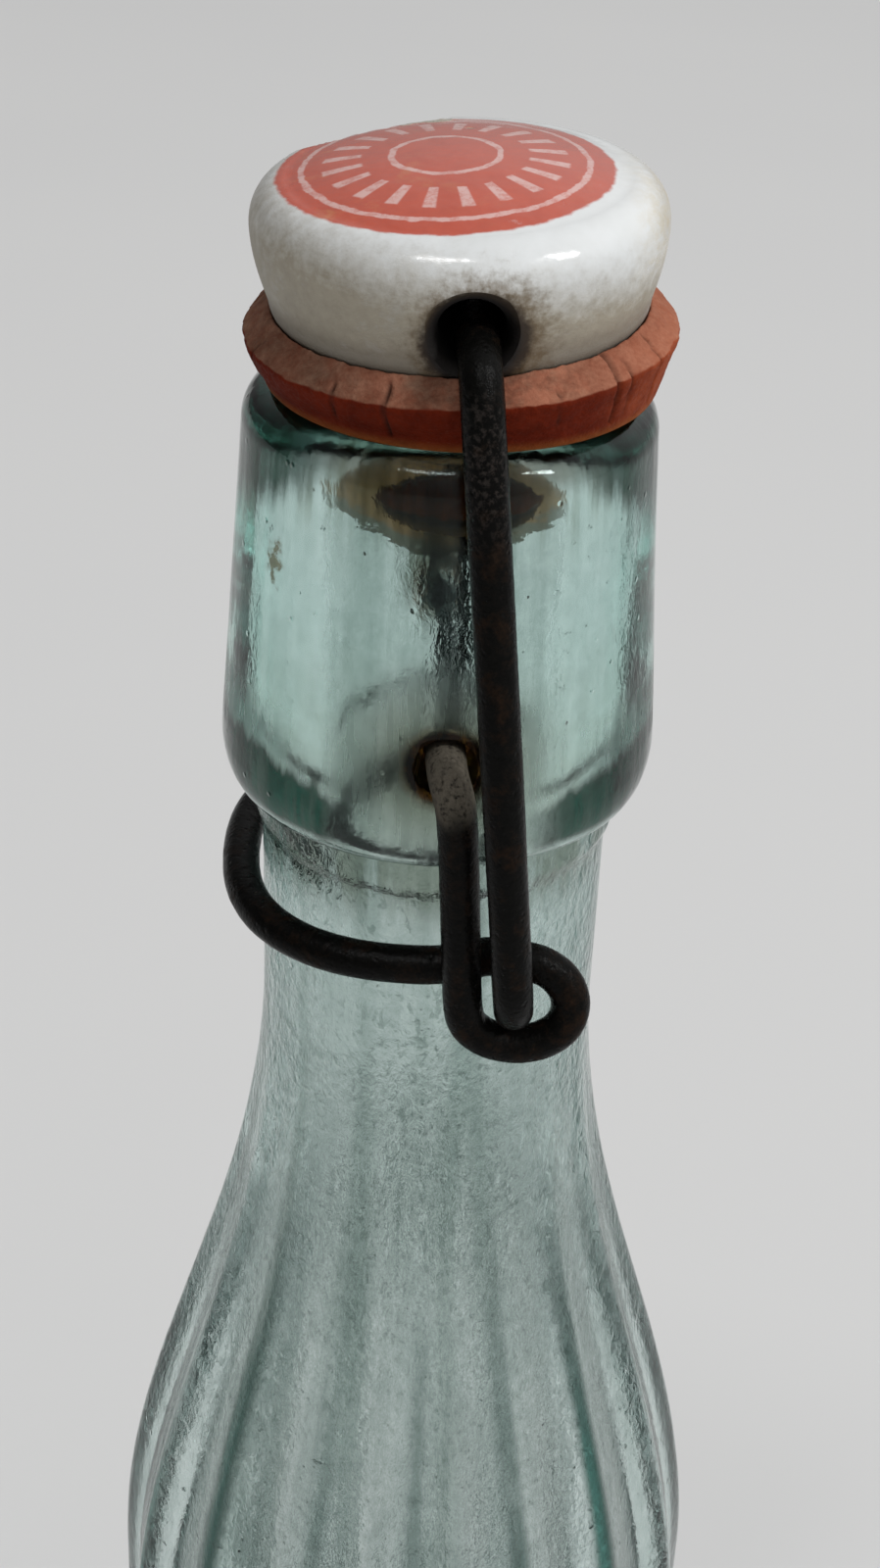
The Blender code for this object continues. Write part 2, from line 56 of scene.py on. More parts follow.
# Glass, from the base up
PUSH_UP = 4.2
STANDING_INNER = 17.0
HEEL_RADIUS = 25.1
HEEL_ROUND = 5.0
BODY_FOOT = 20.0
BODY_TOP = 98.0
SHOULDER_TOP = 162.0
NECK_TOP = 176.0
RING = 180.0
LIP = 208.8
BODY_RADIUS = 24.7
NECK_RADIUS = 12.35
BEAD_RADIUS = 12.95
BLOB_FOOT_RADIUS = 13.9
BLOB_RADIUS = 15.2
BLOB_FOOT_HEIGHT = 3.4
BLOB_TOP_RADIUS = 13.75
LIP_OUTER_ROUND = 2.6
LIP_INNER_ROUND = 2.0
BORE_RADIUS = 8.2
BODY_WALL = 3.0
NECK_WALL = 3.8
FLOOR_THICKNESS = 6.5
FLOOR_ROUND = 8.0
FLUTE_COUNT = 16
FLUTE_SEGMENTS = 18
FLUTE_DEPTH = 1.2
FLUTE_TOP_FADE = 46.0
FLUTE_BOTTOM_FADE = 9.0
FLUTE_RIDGE_ROUND = 0.3
GLASS_SWELL = 0.1
BORE_SWELL = 0.13
PIVOT_HOLE_RADIUS = 2.1
PIVOT_HOLE_SAG = 0.3
PIVOT_HOLE_END_RADIUS = 1.75
PIVOT_HOLE_DEPTH = 4.0
# How much wider than the hole its mouth is, and how far out from the blob's side
PIVOT_MOUTH = ((0, -0.55), (0.1, -0.3), (0.45, 0.05), (1.2, 0.5), (1.2, 2.0))
FLECK = (-11.3, -8.7, 199.6)

# Wires
WIRE_RADIUS = 1.35
FIT = 0.3
PIN_BEND = 1.9
LEG_TOP_X = 0.8
LOOP_LEFT = 3.45
LOOP_RIGHT = 4.05
LOOP_PLAY = 0.6
LOOP_INWARD = 0.55
BOW_DROP = 8.1
BOW_SQUARENESS = 2.4
FOOT_BEND = 4.0
FOOT_END_GAP = 1.1
YOKE_SHOULDER = 3.2
YOKE_SPLAY_DROP = 24.3

# Stopper and gasket, from the wire bar
STOPPER_LEAN = math.radians(-2.6)
STOPPER_TILT = math.radians(2.2)
STOPPER_OFFSET = 0.75
STOPPER_RADIUS = 13.25
FOOT_RADIUS = 12.3
FOOT_ROUND = 1.9
SEAT_DROP = 2.6
STEM_DROP = 3.6
CONE_HEIGHT = 4.7
SHOULDER_HEIGHT = 2.7
DOME_RADIUS = 10.7
DOME_RISE = 1.4
STEM_RADIUS = 5.2
NOSE_RADIUS = 5.8
NOSE_LENGTH = 1.6
NOSE_ROUND = 1.2
HOLE_RADIUS = 2.1
HOLE_OFFSET = 0.3
HOLE_HEIGHT = math.sqrt((HOLE_RADIUS - WIRE_RADIUS - FIT) ** 2 - HOLE_OFFSET**2)
# How much wider the cross hole gets, and how far out from the middle
HOLE_FLARE = (
    (0, 0), (0, 10.2), (0.12, 11.0), (0.3, 11.7), (0.55, 12.25), (0.9, 12.75), (1.3, 13.1), (1.3, 15.0),
)
# Flakes off the rim: direction, tilt up and depth; then the middle and reach of the lost glaze beside them
RIM_FLAKES = ((121, 56, 0.98), (152, 34, 0.3))
LOST_GLAZE = (-2.7, 9.9, 7.0)
LOST_GLAZE_REACH = 1.9
RIM_RADIUS = 14.24
RIM_DROP = 2.8
GASKET_FOOT = 12.85
GASKET_DROOP = 0.45
SEAT_LIFT = 0.7
HUG = 0.08
DISH_END = -22
WIRE_DIP = 0.12
CONE_DROP = 0.8
COLLAR_RADIUS = 7.25
COLLAR_END_RADIUS = 6.3
COLLAR_HEIGHT = 7.0
# Splits in the gasket's rim: direction, half width in degrees, length and depth
SPLITS = (
    (-111, 0.9, 1.7, 0.35), (-126, 0.7, 1.2, 0.25), (-47, 0.9, 2.4, 0.45), (-42, 0.6, 1.4, 0.25),
    (-66, 0.5, 0.9, 0.15), (-28, 0.6, 1.9, 0.3), (22, 0.9, 2.2, 0.35), (77, 0.8, 2.4, 0.4),
    (130, 0.9, 1.9, 0.35), (168, 0.7, 2.2, 0.3), (-160, 0.6, 1.2, 0.2),
)
DISC_RADIUS = 10.45
DISC_OFFSET = 0.85
DISC_RINGS = (9.0, 3.4)
DISC_LINE = 0.42

PIVOT = Vector(joints["lever_hinge"]["pos_m"]) / MM
LOOP = Vector(joints["yoke_hinge"]["pos_m"]) / MM
BAR = Vector(joints["stopper_hinge"]["pos_m"]) / MM

LEG_Y = BLOB_RADIUS + FIT + WIRE_RADIUS
YOKE_Y = LEG_Y + 2 * WIRE_RADIUS + FIT
BOW_Y = LEG_Y - 2 * WIRE_RADIUS - FIT / 3
BOW_RADIUS = NECK_RADIUS + FIT + WIRE_RADIUS
YOKE_TOP_Y = RIM_RADIUS + FIT + WIRE_RADIUS
SEAT_HEIGHT = LIP + SEAT_LIFT - BAR.z
END_HEIGHT = SEAT_HEIGHT - COLLAR_HEIGHT
FOOT_CENTRE = (FOOT_RADIUS - FOOT_ROUND, FOOT_ROUND - SEAT_DROP)
PLUG_TO_WORLD = (
    Matrix.Translation(BAR * MM)
    @ Matrix.Rotation(STOPPER_LEAN, 4, "Y")
    @ Matrix.Translation((-STOPPER_OFFSET * MM, 0, 0))
    @ Matrix.Rotation(STOPPER_TILT, 4, "X")
)

# Colours, linear; a pair is mixed by a noise. The glass ones say what share of the light each layer lets by.
GLASS = {
    "skin": ((0.93, 0.94, 0.935), (0.66, 0.7, 0.685)),
    "residue": ((0.06, 0.05, 0.032), (0.115, 0.038, 0.006)),
    "pivot mouth": ((0.016, 0.0022, 0.0004), (0.22, 0.06, 0.006)),
    "thick": (0.14, 0.26, 0.21), "edge_shade": (0.03, 0.19, 0.165), "ridge": (0.003, 0.085, 0.064),
    "corner": (0.0003, 0.014, 0.008), "olive dirt and shade": (0.045, 0.048, 0.022), "smear": (0.3, 0.27, 0.16),
    "pivot stain": (0.17, 0.155, 0.095), "pivot ring": (0.22, 0.1, 0.022), "fleck": (0.17, 0.07, 0.01),
    "groove band": (0.13, 0.14, 0.085), "grey film": (0.74, 0.64, 0.52), "under lip": (0.1, 0.055, 0.02),
    "chill mark": (0.2, 0.27, 0.24), "speck": (0.03, 0.03, 0.02), "depth": (0.28, 0.85, 0.76),
}
GLAZE = {
    "white": ((0.68, 0.7, 0.71), (0.58, 0.59, 0.58)),
    "grime_and_shade": ((0.2, 0.165, 0.11), (0.37, 0.325, 0.235)),
    "red": ((0.5, 0.068, 0.026), (0.36, 0.044, 0.018)),
    "body": ((0.55, 0.53, 0.47), (0.22, 0.185, 0.135)),
    "foot shade and dirt": (0.04, 0.027, 0.011), "yellowed": (0.46, 0.36, 0.17), "halo": (0.11, 0.068, 0.024),
    "mouth_shade": (0.02, 0.011, 0.005), "bore": (0.006, 0.004, 0.003), "scuff": (0.5, 0.19, 0.065),
    "worn white": (0.62, 0.4, 0.37), "nick": (0.46, 0.34, 0.17),
}
RUBBER = {
    "red": ((0.075, 0.007, 0.0016), (0.135, 0.014, 0.0035)),
    "lit_orange": ((0.17, 0.026, 0.008), (0.32, 0.07, 0.026)),
    "dust": ((0.075, 0.038, 0.022), (0.21, 0.125, 0.085)),
    "pink": ((0.27, 0.085, 0.045), (0.5, 0.21, 0.13)),
    "brown": ((0.16, 0.052, 0.012), (0.44, 0.16, 0.04)),
    "crack": (0.035, 0.012, 0.008),
}
IRON = {
    "black": ((0.001, 0.001, 0.0008), (0.0048, 0.0046, 0.0042)),
    "rust": ((0.0045, 0.0024, 0.0012), (0.028, 0.0135, 0.0065)),
    "crust": ((0.06, 0.052, 0.042), (0.175, 0.155, 0.12)),
    "bare": (0.1, 0.095, 0.09), "rubbed": (0.06, 0.05, 0.045),
}
FLOOR = ((0.6, 0.6, 0.6), (0.64, 0.64, 0.635))

# Lamps: name, place, what it faces, size (all in metres) and watts
LAMPS = (
    ("overhead_soft_box", (-0.45, -1.15, 2.6), (0, 0, 0.15), (0.9, 0.35), 16.0),
    ("window_side", (1.7, -0.9, 2.0), (0, 0, 0.17), (0.25, 0.5), 25.0),
)
BACKDROP = 0.62
CAMERA_PITCH = math.radians(31.45)
CAMERA_ROLL = math.radians(2.5)
CAMERA_ROUND = math.radians(2.6)
CAMERA_FROM_RING = (0.35, -144.9, 86.5)
CAMERA_LENS = 54

# Places of the colour sockets on a Mix node
MIX_INPUTS = (0, 6, 7)
MIX_RESULT = 2
NUMBER_SOCKETS = {float: "NodeSocketFloat", int: "NodeSocketInt"}


# ---- node helpers


def arithmetic(operation, turned=False):
    def method(self, other):
        return self.net.math(operation, *((other, self) if turned else (self, other)))

    return method


class Output:
    """What a node gives out. Arithmetic on it adds Math nodes to the same tree."""

    def __init__(self, net, socket):
        self.net = net
        self.socket = socket

    def __abs__(self):
        return self.net.math("ABSOLUTE", self)

    def ramp(self, low, high, to_low=0.0, to_high=1.0, smooth=True):
        node = self.net.add("ShaderNodeMapRange", interpolation_type="SMOOTHSTEP" if smooth else "LINEAR")
        for socket, given in zip(node.inputs, (self, low, high, to_low, to_high)):
            self.net.put(socket, given)
        return self.net.out(node, "Result")

    def fall(self, low, high):
        """One up to the low value, then falling to nothing at the high one."""
        return self.ramp(low, high, 1.0, 0.0)

    def mix(self, under, over):
        """One colour where this is 0 and the other where it is 1."""
        node = self.net.add("ShaderNodeMix", data_type="RGBA", clamp_factor=True)
        for index, value in zip(MIX_INPUTS, (self, under, over)):
            self.net.put(node.inputs[index], value)
        return self.net.out(node, MIX_RESULT)

    def scaled(self, factors):
        return self.net.vmath("MULTIPLY", self, factors)

    def split(self):
        node = self.net.add("ShaderNodeSeparateXYZ")
        self.net.put(node.inputs[0], self)
        return [Output(self.net, socket) for socket in node.outputs]

    def millimetres(self):
        return self.net.vmath("SCALE", self, scale=1 / MM).split()

    def noise(self, scale, detail=4.0, roughness=0.55, distortion=0.0):
        settings = {"Scale": scale, "Detail": detail, "Roughness": roughness, "Distortion": distortion}
        return self.net.step("ShaderNodeTexNoise", Vector=self, **settings)

    def bump(self, strength, distance, normal=None):
        settings = {"Strength": strength, "Distance": distance * MM, "Normal": normal}
        return self.net.step("ShaderNodeBump", Height=self, **settings)

    def mottle(self, size, cover, softness):
        return self.net.call(MOTTLE, Place=self, Size=size, Cover=cover, Softness=softness)

    def pits(self, spacing, width, share):
        return self.net.call(PITS, Place=self, Spacing=spacing, Width=width, Share=share)["Height"]

    __add__ = __radd__ = arithmetic("ADD")
    __mul__ = __rmul__ = arithmetic("MULTIPLY")
    __sub__, __rsub__ = arithmetic("SUBTRACT"), arithmetic("SUBTRACT", turned=True)
    __truediv__, __rtruediv__ = arithmetic("DIVIDE"), arithmetic("DIVIDE", turned=True)
    __gt__, __lt__ = arithmetic("GREATER_THAN"), arithmetic("LESS_THAN")


class Net:
    """Short ways to add and join nodes in one tree."""

    def __init__(self, tree):
        self.tree = tree

    def add(self, kind, **settings):
        node = self.tree.nodes.new(kind)
        for key, value in settings.items():
            setattr(node, key, value)
        return node

    def put(self, socket, value):
        """Links an output to the socket or sets a plain value; a colour may leave out its alpha."""
        if isinstance(value, Output):
            self.tree.links.new(value.socket, socket)
        elif value is not None:
            socket.default_value = (*value, 1)[:4] if socket.type == "RGBA" else value

    def fill(self, node, **values):
        """Puts values on the node's named inputs; an underscore stands for a space."""
        for label, value in values.items():
            self.put(node.inputs[label.replace("_", " ")], value)
        return node

    def out(self, node, name=0):
        return Output(self, node.outputs[name])

    def step(self, kind, **values):
        """The first output of a new node with these values on its inputs."""
        return self.out(self.fill(self.add(kind), **values))

    def outs(self, node):
        return {socket.name: Output(self, socket) for socket in node.outputs}

    def math(self, operation, *values, clamp=False):
        node = self.add("ShaderNodeMath", operation=operation, use_clamp=clamp)
        for socket, value in zip(node.inputs, values):
            self.put(socket, value)
        return self.out(node)

    def vmath(self, operation, a, b=None, scale=None):
        node = self.add("ShaderNodeVectorMath", operation=operation)
        for socket, value in zip(node.inputs, (a, b, None, scale)):
            self.put(socket, value)
        return self.out(node, "Value" if operation == "DISTANCE" else "Vector")

    def length(self, a, b):
        return self.math("SQRT", a * a + b * b)

    def highest(self, first, *others):
        for other in others:
            first = self.math("MAXIMUM", first, other)
        return first

    def attribute(self, name, output):
        return self.out(self.add("ShaderNodeAttribute", attribute_name=name), output)

    def geometry(self, output):
        return self.out(self.add("ShaderNodeNewGeometry"), output)

    def object_place(self):
        return self.out(self.add("ShaderNodeTexCoord"), "Object")

    def call(self, group, **values):
        return self.outs(self.fill(self.add("ShaderNodeGroup", node_tree=group), **values))


class GroupNet(Net):
    """A node group with named inputs and outputs: each a kind of socket or, for a number, its default."""

    def __init__(self, name, kind, inputs, outputs):
        super().__init__(bpy.data.node_groups.new(name, kind))
        for direction, sockets in (("INPUT", inputs), ("OUTPUT", outputs)):
            for label, given in sockets.items():
                sort = NUMBER_SOCKETS.get(type(given), given)
                socket = self.tree.interface.new_socket(name=label, in_out=direction, socket_type=sort)
                if sort != given:
                    socket.default_value = given
        self.given = self.outs(self.add("NodeGroupInput"))
        self.ends = self.add("NodeGroupOutput").inputs


def make_mottle():
    """Two sizes of soft cloudy patches, for stains, rust and grime."""
    net = GroupNet(
        "mottle", "ShaderNodeTree",
        {"Place": "NodeSocketVector", "Size": 2.0, "Cover": 0.5, "Softness": 0.12},
        {"Mask": "NodeSocketFloat", "Fine": "NodeSocketFloat"},
    )
    place, softness = net.given["Place"], net.given["Softness"]
    frequency = 1 / MM / net.given["Size"]
    wide = place.noise(frequency, 5.0, 0.6, 0.3)
    fine = place.noise(frequency * 5.0, 4.0, 0.65)
    edge = 1.0 - net.given["Cover"]
    net.put(net.ends["Mask"], (wide * 0.75 + fine * 0.25).ramp(edge - softness, edge + softness))
    net.put(net.ends["Fine"], fine)
    return net.tree


def make_pits():
    """Small round pits, seeds or specks, as a height from 0 to 1."""
    net = GroupNet(
        "pits", "ShaderNodeTree",
        {"Place": "NodeSocketVector", "Spacing": 1.0, "Width": 0.25, "Share": 0.5},
        {"Height": "NodeSocketFloat"},
    )
    cells = net.add("ShaderNodeTexVoronoi")
    cells = net.outs(net.fill(cells, Vector=net.given["Place"], Scale=1 / MM / net.given["Spacing"]))
    chance = net.add("ShaderNodeSeparateColor")
    net.put(chance.inputs[0], cells["Color"])
    chosen = net.out(chance) < net.given["Share"]
    net.put(net.ends["Height"], cells["Distance"].fall(0.0, net.given["Width"]) * chosen)
    return net.tree


MOTTLE = make_mottle()
PITS = make_pits()


# ---- materials


def new_material(name, **values):
    """A material with a Principled shader; plain values go on its own sockets."""
    made = bpy.data.materials.new(name)
    made.use_nodes = True
    net = Net(made.node_tree)
    return made, net, net.fill(made.node_tree.nodes["Principled BSDF"], **values)


def glass_material():
    """Pale aqua bottle glass: deep teal where it is thick, painted shade in its corners, along the flute
    ridges and at its edges, a chilled, seedy skin, rust and old dirt, with painted glints in the pivot
    holes.
    """
    made, net, shader = new_material(
        "aqua_bottle_glass", IOR=1.5, Transmission_Weight=1, Specular_Tint=(0.22, 0.25, 0.25)
    )
    place = net.object_place()
    x, y, z = place.millimetres()
    reach = net.length(x, y)
    aside = abs(x)
    skin = reach.ramp(10.6, 11.4)
    entering = 1 - net.geometry("Backfacing")
    shown = skin * entering
    # streaks run up the bottle and fan out with its flutes
    outwards = net.vmath("NORMALIZE", place.scaled((1, 1, 0)))
    fan = net.vmath("ADD", net.vmath("SCALE", outwards, scale=13 * MM), place.scaled((0, 0, 1)))

    def upright(squeeze, *settings):
        return fan.scaled((1, 1, squeeze)).noise(*settings)

    drawn = upright(0.14, 620, 3)
    streaks = upright(0.08, 1100, 4, 0.6)
    slow = upright(0.07, 190, 2, 0.5)
    patch = place.mottle(9, 0.55, 0.2)
    # painted shade: dark teal bands where the glass is thick, along the blob's lower curve and the lip,
    # paler in front of the pivots
    level = z + (streaks - 0.5) * 3.2
    rising = aside.ramp(4, 13, RING + 3, RING + 5.6, smooth=False)
    low_band = (level - rising).fall(0, 1.3) * z.ramp(RING + 0.5, RING + 1.6)
    low_band = low_band * aside.ramp(4.5, 8.5)
    lip_foot = aside.ramp(6.5, 13, LIP - 1.8, LIP - 6.5, smooth=False)
    lip_band = (level - lip_foot).ramp(-0.8, 1.8) * aside.ramp(6.5, 10.5)
    corners = net.highest(low_band, lip_band * 0.93) * shown
    # painted shade: dark teal lines along the ridges between the flutes
    bent = net.math("ARCTAN2", y, x) - math.pi / 2 + (slow - 0.5) * 0.16
    ridge = abs(net.math("SINE", bent * (FLUTE_COUNT / 2)))
    line = ridge.fall(0.1, 0.56) * slow.ramp(0.4, 0.56, 0.2, 1)
    line = line * drawn.ramp(0.3, 0.55, 0.55, 1) * aside.ramp(4, 12, 0.55, 1)
    ridge_shade = line * z.fall(SHOULDER_TOP - 40, SHOULDER_TOP - 8) * shown
    # painted shade: the skin is tinted darker teal where it is seen edge-on
    edge = net.fill(net.add("ShaderNodeLayerWeight"), Blend=0.5)
    edge_shade = net.out(edge, "Facing").ramp(0.55, 0.98) * drawn.ramp(0.3, 0.7) * skin

    def tint(mask, colour):
        """Light passes the skin with the root of its colour, so the mask is raised to match."""
        nonlocal tone
        rest = net.math("SUBTRACT", 1, mask, clamp=True)
        tone = net.vmath("MULTIPLY", tone, (1 - rest * rest).mix((1, 1, 1), colour))

    cloudy = patch["Fine"].ramp(0.35, 0.65) * 0.5 + streaks.ramp(0.35, 0.65) * 0.5
    tone = cloudy.mix(*GLASS["skin"])
    # soft upright bands of thicker and thinner glass
    bands = upright(0.05, 230, 2, 0.5)
    thick = bands.ramp(0.48, 0.66) * z.ramp(RING - 2, RING + 1, 0.36, 0.32)
    tint(thick * shown, GLASS["thick"])
    tint(edge_shade * 0.5, GLASS["edge_shade"])
    tint(ridge_shade * 0.88, GLASS["ridge"])
    tint(corners * streaks.ramp(0.34, 0.62, 0.9, 1), GLASS["corner"])
    # brown residue that the plug left round the mouth's inner wall
    inside = reach.fall(8.9, 9.3) * (z > RING)
    torn = (place.scaled((1, 1, 2.5)).noise(700, 4, 0.6) - 0.5) * 2.6
    above = z + torn - aside.ramp(1.5, 8, LIP - 7.7, LIP - 5.2, smooth=False)
    residue = above.ramp(-0.1, 0.1) * z.fall(LIP - 1.6, LIP - 0.8) * inside
    brown = above.ramp(0.5, 1.1).mix(*GLASS["residue"])
    tint(residue * 0.94, brown)
    # olive dirt where the yoke lies along the blob's far side, spread wide as painted shade standing in for
    # the yoke wire seen through the glass
    by_yoke = (abs(x + 1.6) + (drawn - 0.5) * 5).fall(1.6, 4.6) * z.ramp(RING + 4, RING + 10)
    by_yoke = by_yoke * z.fall(RING + 21, RING + 25) * (y > 8)
    tint(by_yoke * 0.8, GLASS["olive dirt and shade"])
    # rust that ran from the pivot pins
    from_pin = net.length(x, z - (PIVOT.z - PIVOT_HOLE_SAG))
    on_side = abs(y) > 10
    uneven = (patch["Fine"] - 0.5) * 3.6
    stain = (from_pin + uneven).fall(2.3, 8.6) * on_side * entering
    tint(stain * 0.72, GLASS["pivot stain"])
    # a darker olive band in the groove under the blob, and a thin grey film over the blob's lower half
    groove = z.ramp(NECK_TOP - 4, NECK_TOP + 1) * z.fall(RING - 0.2, RING + 0.8) * shown
    tint(groove * drawn.ramp(0.3, 0.6, 0.25, 1) * 0.66, GLASS["groove band"])
    film = z.ramp(RING - 1, RING + 2) * z.fall(RING + 4, RING + 20) * shown * patch["Fine"]
    tint(film * 0.6, GLASS["grey film"])
    # the rusty rings and mouths of the pivot holes; the orange spots in the dark rust of the mouths are
    # painted glints
    ring = (from_pin + uneven * 0.35).fall(2.5, 3.6) * on_side
    tint(ring * 0.72, GLASS["pivot ring"])
    glint_spots = place.noise(1100, 3).ramp(0.5, 0.64)
    mouth = from_pin.fall(2.45, 2.95) * on_side
    tint(mouth * 0.97, glint_spots.mix(*GLASS["pivot mouth"]))
    # dirt under the gasket, one fleck, chill marks and small dark specks
    smear = level.ramp(LIP - 7, LIP - 2) * streaks.ramp(0.4, 0.66) * shown
    smear = smear * aside.ramp(9.5, 12.5, 1, 0.2)
    tint(smear * 0.45, GLASS["smear"])
    under_lip = z.ramp(LIP - 3, LIP - 1.2) * aside.fall(6.5, 10.5) * shown
    tint(under_lip * 0.6, GLASS["under lip"])
    squat = (1, 1, 0.45)
    fleck_place = tuple(at * factor * MM for at, factor in zip(FLECK, squat))
    fleck_off = net.vmath("DISTANCE", place.scaled(squat), fleck_place) / MM
    fleck = (fleck_off + (place.noise(1500, 3) - 0.5) * 2.2).fall(0.25, 0.85)
    tint(fleck * 0.75, GLASS["fleck"])
    dashes = place.scaled((1, 1, 0.6)).noise(1500, 3, 0.6, 0.4)
    chilled = z.ramp(RING - 72, RING - 28, 0.25, 1) * z.ramp(RING - 3, RING + 1, 1, 0.13)
    chilled = chilled * (patch["Mask"] * 0.8 + 0.2)
    tint(dashes.ramp(0.56, 0.66) * chilled * shown * 0.42, GLASS["chill mark"])
    specks = place.pits(1.4, 0.095, 0.5)
    tint(specks * shown * 0.7, GLASS["speck"])
    # a hazy skin round the pivots and along the blob's lower curve
    haze = (from_pin + uneven).fall(6, 9.5) * on_side
    foot_haze = z.ramp(RING + 3.6, RING + 5.2) * z.fall(RING + 9, RING + 12)
    hazy = net.highest(haze, foot_haze) * shown * streaks.ramp(0.35, 0.65, 0.16, 0.3)
    dull = net.highest(ring * 0.2, residue * 0.03, smear * 0.12, hazy)
    net.fill(shader, Base_Color=tone, Roughness=dull + fleck * 0.3 + 0.025)
    # skin: soft waves, fine chill marks on the neck and seeds
    ripples = upright(0.2, 240, 2, 0.5)
    seeds = place.pits(1.5, 0.17, 0.4)
    broad = (ripples * skin).bump(0.16, 1.2)
    fine = (dashes * chilled * skin).bump(0.8, 0.36, broad)
    net.fill(shader, Normal=(seeds * skin).bump(0.6, 0.12, fine))
    absorb = net.step("ShaderNodeVolumeAbsorption", Color=GLASS["depth"], Density=31)
    net.fill(net.tree.nodes["Material Output"], Volume=absorb)
    return made


def porcelain_material():
    """White glaze with a worn red-orange disc on top, grime and painted shade low down, brown stains and
    painted shade by the wire hole.
    """
    made, net, shader = new_material("stained_white_porcelain", IOR=1.5, Coat_Roughness=0.06)
    place = net.attribute("plug_place", "Vector")
    chip = net.attribute("chip", "Fac")
    x, y, z = place.millimetres()
    glaze = place.noise(300, 3).mix(*GLAZE["white"])
    # grime and painted shade: thickest at the foot, near black in painted shade by the gasket, thinning up
    # the cone, reaching higher on the shaded left, and darker at both sides of the dome
    cloud = place.mottle(3.4, 0.56, 0.22)
    small = place.scaled((1, 1, 1.8)).mottle(1, 0.5, 0.2)
    low = (z + x * 0.15 + (cloud["Fine"] - 0.5) * 3.6).fall(1.5, 6.9)
    sides = abs(x).ramp(11.4, 13.2) * z.ramp(1.5, 4.5)
    dirt = cloud["Mask"] * 0.55 + small["Mask"] * 0.3
    grime_and_shade = net.math("MULTIPLY", net.highest(low, sides * 0.55), dirt * 0.6 + 0.74, clamp=True)
    grey = cloud["Fine"].mix(*GLAZE["grime_and_shade"])
    grey = z.ramp(-2.6, 1.2, 0.92, 0).mix(grey, GLAZE["foot shade and dirt"])
    yellow = x.ramp(9.5, 13) * z.ramp(1, 3.4) * small["Mask"]
    # brown stains round both mouths of the cross hole; painted shade, near black, just round the mouths and
    # inside the hole
    along_hole = z + y * math.tan(STOPPER_TILT)
    from_hole = net.length(x - (STOPPER_OFFSET - HOLE_OFFSET), along_hole - HOLE_HEIGHT)
    drift = x * -0.12 + (cloud["Fine"] - 0.5) * 3.4
    outside = abs(y) > 7
    halo = (from_hole + drift).fall(2.6, 5) * outside
    mouth_shade = (from_hole + drift * 0.3).fall(2.95, 3.75) * outside
    bore = from_hole.fall(2.6, 3.1)
    tone = (grime_and_shade * 0.9).mix(glaze, grey)
    stains_and_shade = {"yellowed": yellow * 0.55, "halo": halo * 0.88, "mouth_shade": mouth_shade * 0.96, "bore": bore}
    for name, mask in stains_and_shade.items():
        tone = mask.mix(tone, GLAZE[name])
    # the worn print
    from_centre = x + DISC_OFFSET
    from_middle = net.length(from_centre, y) + (place.noise(900, 3) - 0.5) * 0.5
    worn = place.mottle(1.4, 0.3, 0.1)["Mask"]
    kept = 1 - worn * from_middle.ramp(8.4, 10.8) * 0.9
    disc = from_middle.fall(DISC_RADIUS, DISC_RADIUS + 0.3) * (z > 5) * kept
    spokes = abs(net.math("SINE", net.math("ARCTAN2", y, from_centre) * 10))
    band = from_middle.ramp(5.2, 5.4) * from_middle.fall(7.6, 7.8)
    white = spokes.ramp(0.8, 0.92) * band
    for radius in DISC_RINGS:
        circle = abs(from_middle - radius).fall(DISC_LINE * 0.35, DISC_LINE * 0.65)
        white = net.highest(white, circle)
    rubbed = place.noise(1300, 4, 0.7).ramp(0.34, 0.56)
    white = white * (rubbed * 0.45 + 0.4)
    red = place.noise(520, 4, 0.7).mix(*GLAZE["red"])
    scuffs = place.mottle(4.2, 0.36, 0.1)["Mask"]
    red = (scuffs * x.ramp(2, -8, 0.25, 1) * 0.75).mix(red, GLAZE["scuff"])
    tone = disc.mix(tone, white.mix(red, GLAZE["worn white"]))
    # yellowed nicks and the rough body where the glaze has gone
    nicks = place.pits(5.5, 0.09, 0.22)
    tone = (nicks * 0.7).mix(tone, GLAZE["nick"])
    body = place.noise(1400, 4, 0.7).mix(*GLAZE["body"])
    net.fill(shader, Base_Color=chip.mix(tone, body))
    dull = net.highest(chip, bore, mouth_shade, grime_and_shade * 0.6)
    matt = dull.ramp(0, 1, 0.14, 0.75, smooth=False)
    net.fill(shader, Coat_Weight=dull.ramp(0, 0.5, 0.25, 0), Roughness=matt)
    soft = place.noise(420, 2).bump(0.25, 0.4)
    rough = (place.noise(2600, 5, 0.7) * chip).bump(0.8, 0.3, soft)
    dry = (small["Fine"] * grime_and_shade).bump(0.3, 0.15, rough)
    net.fill(shader, Normal=nicks.bump(0.5, -0.2, dry))
    return made


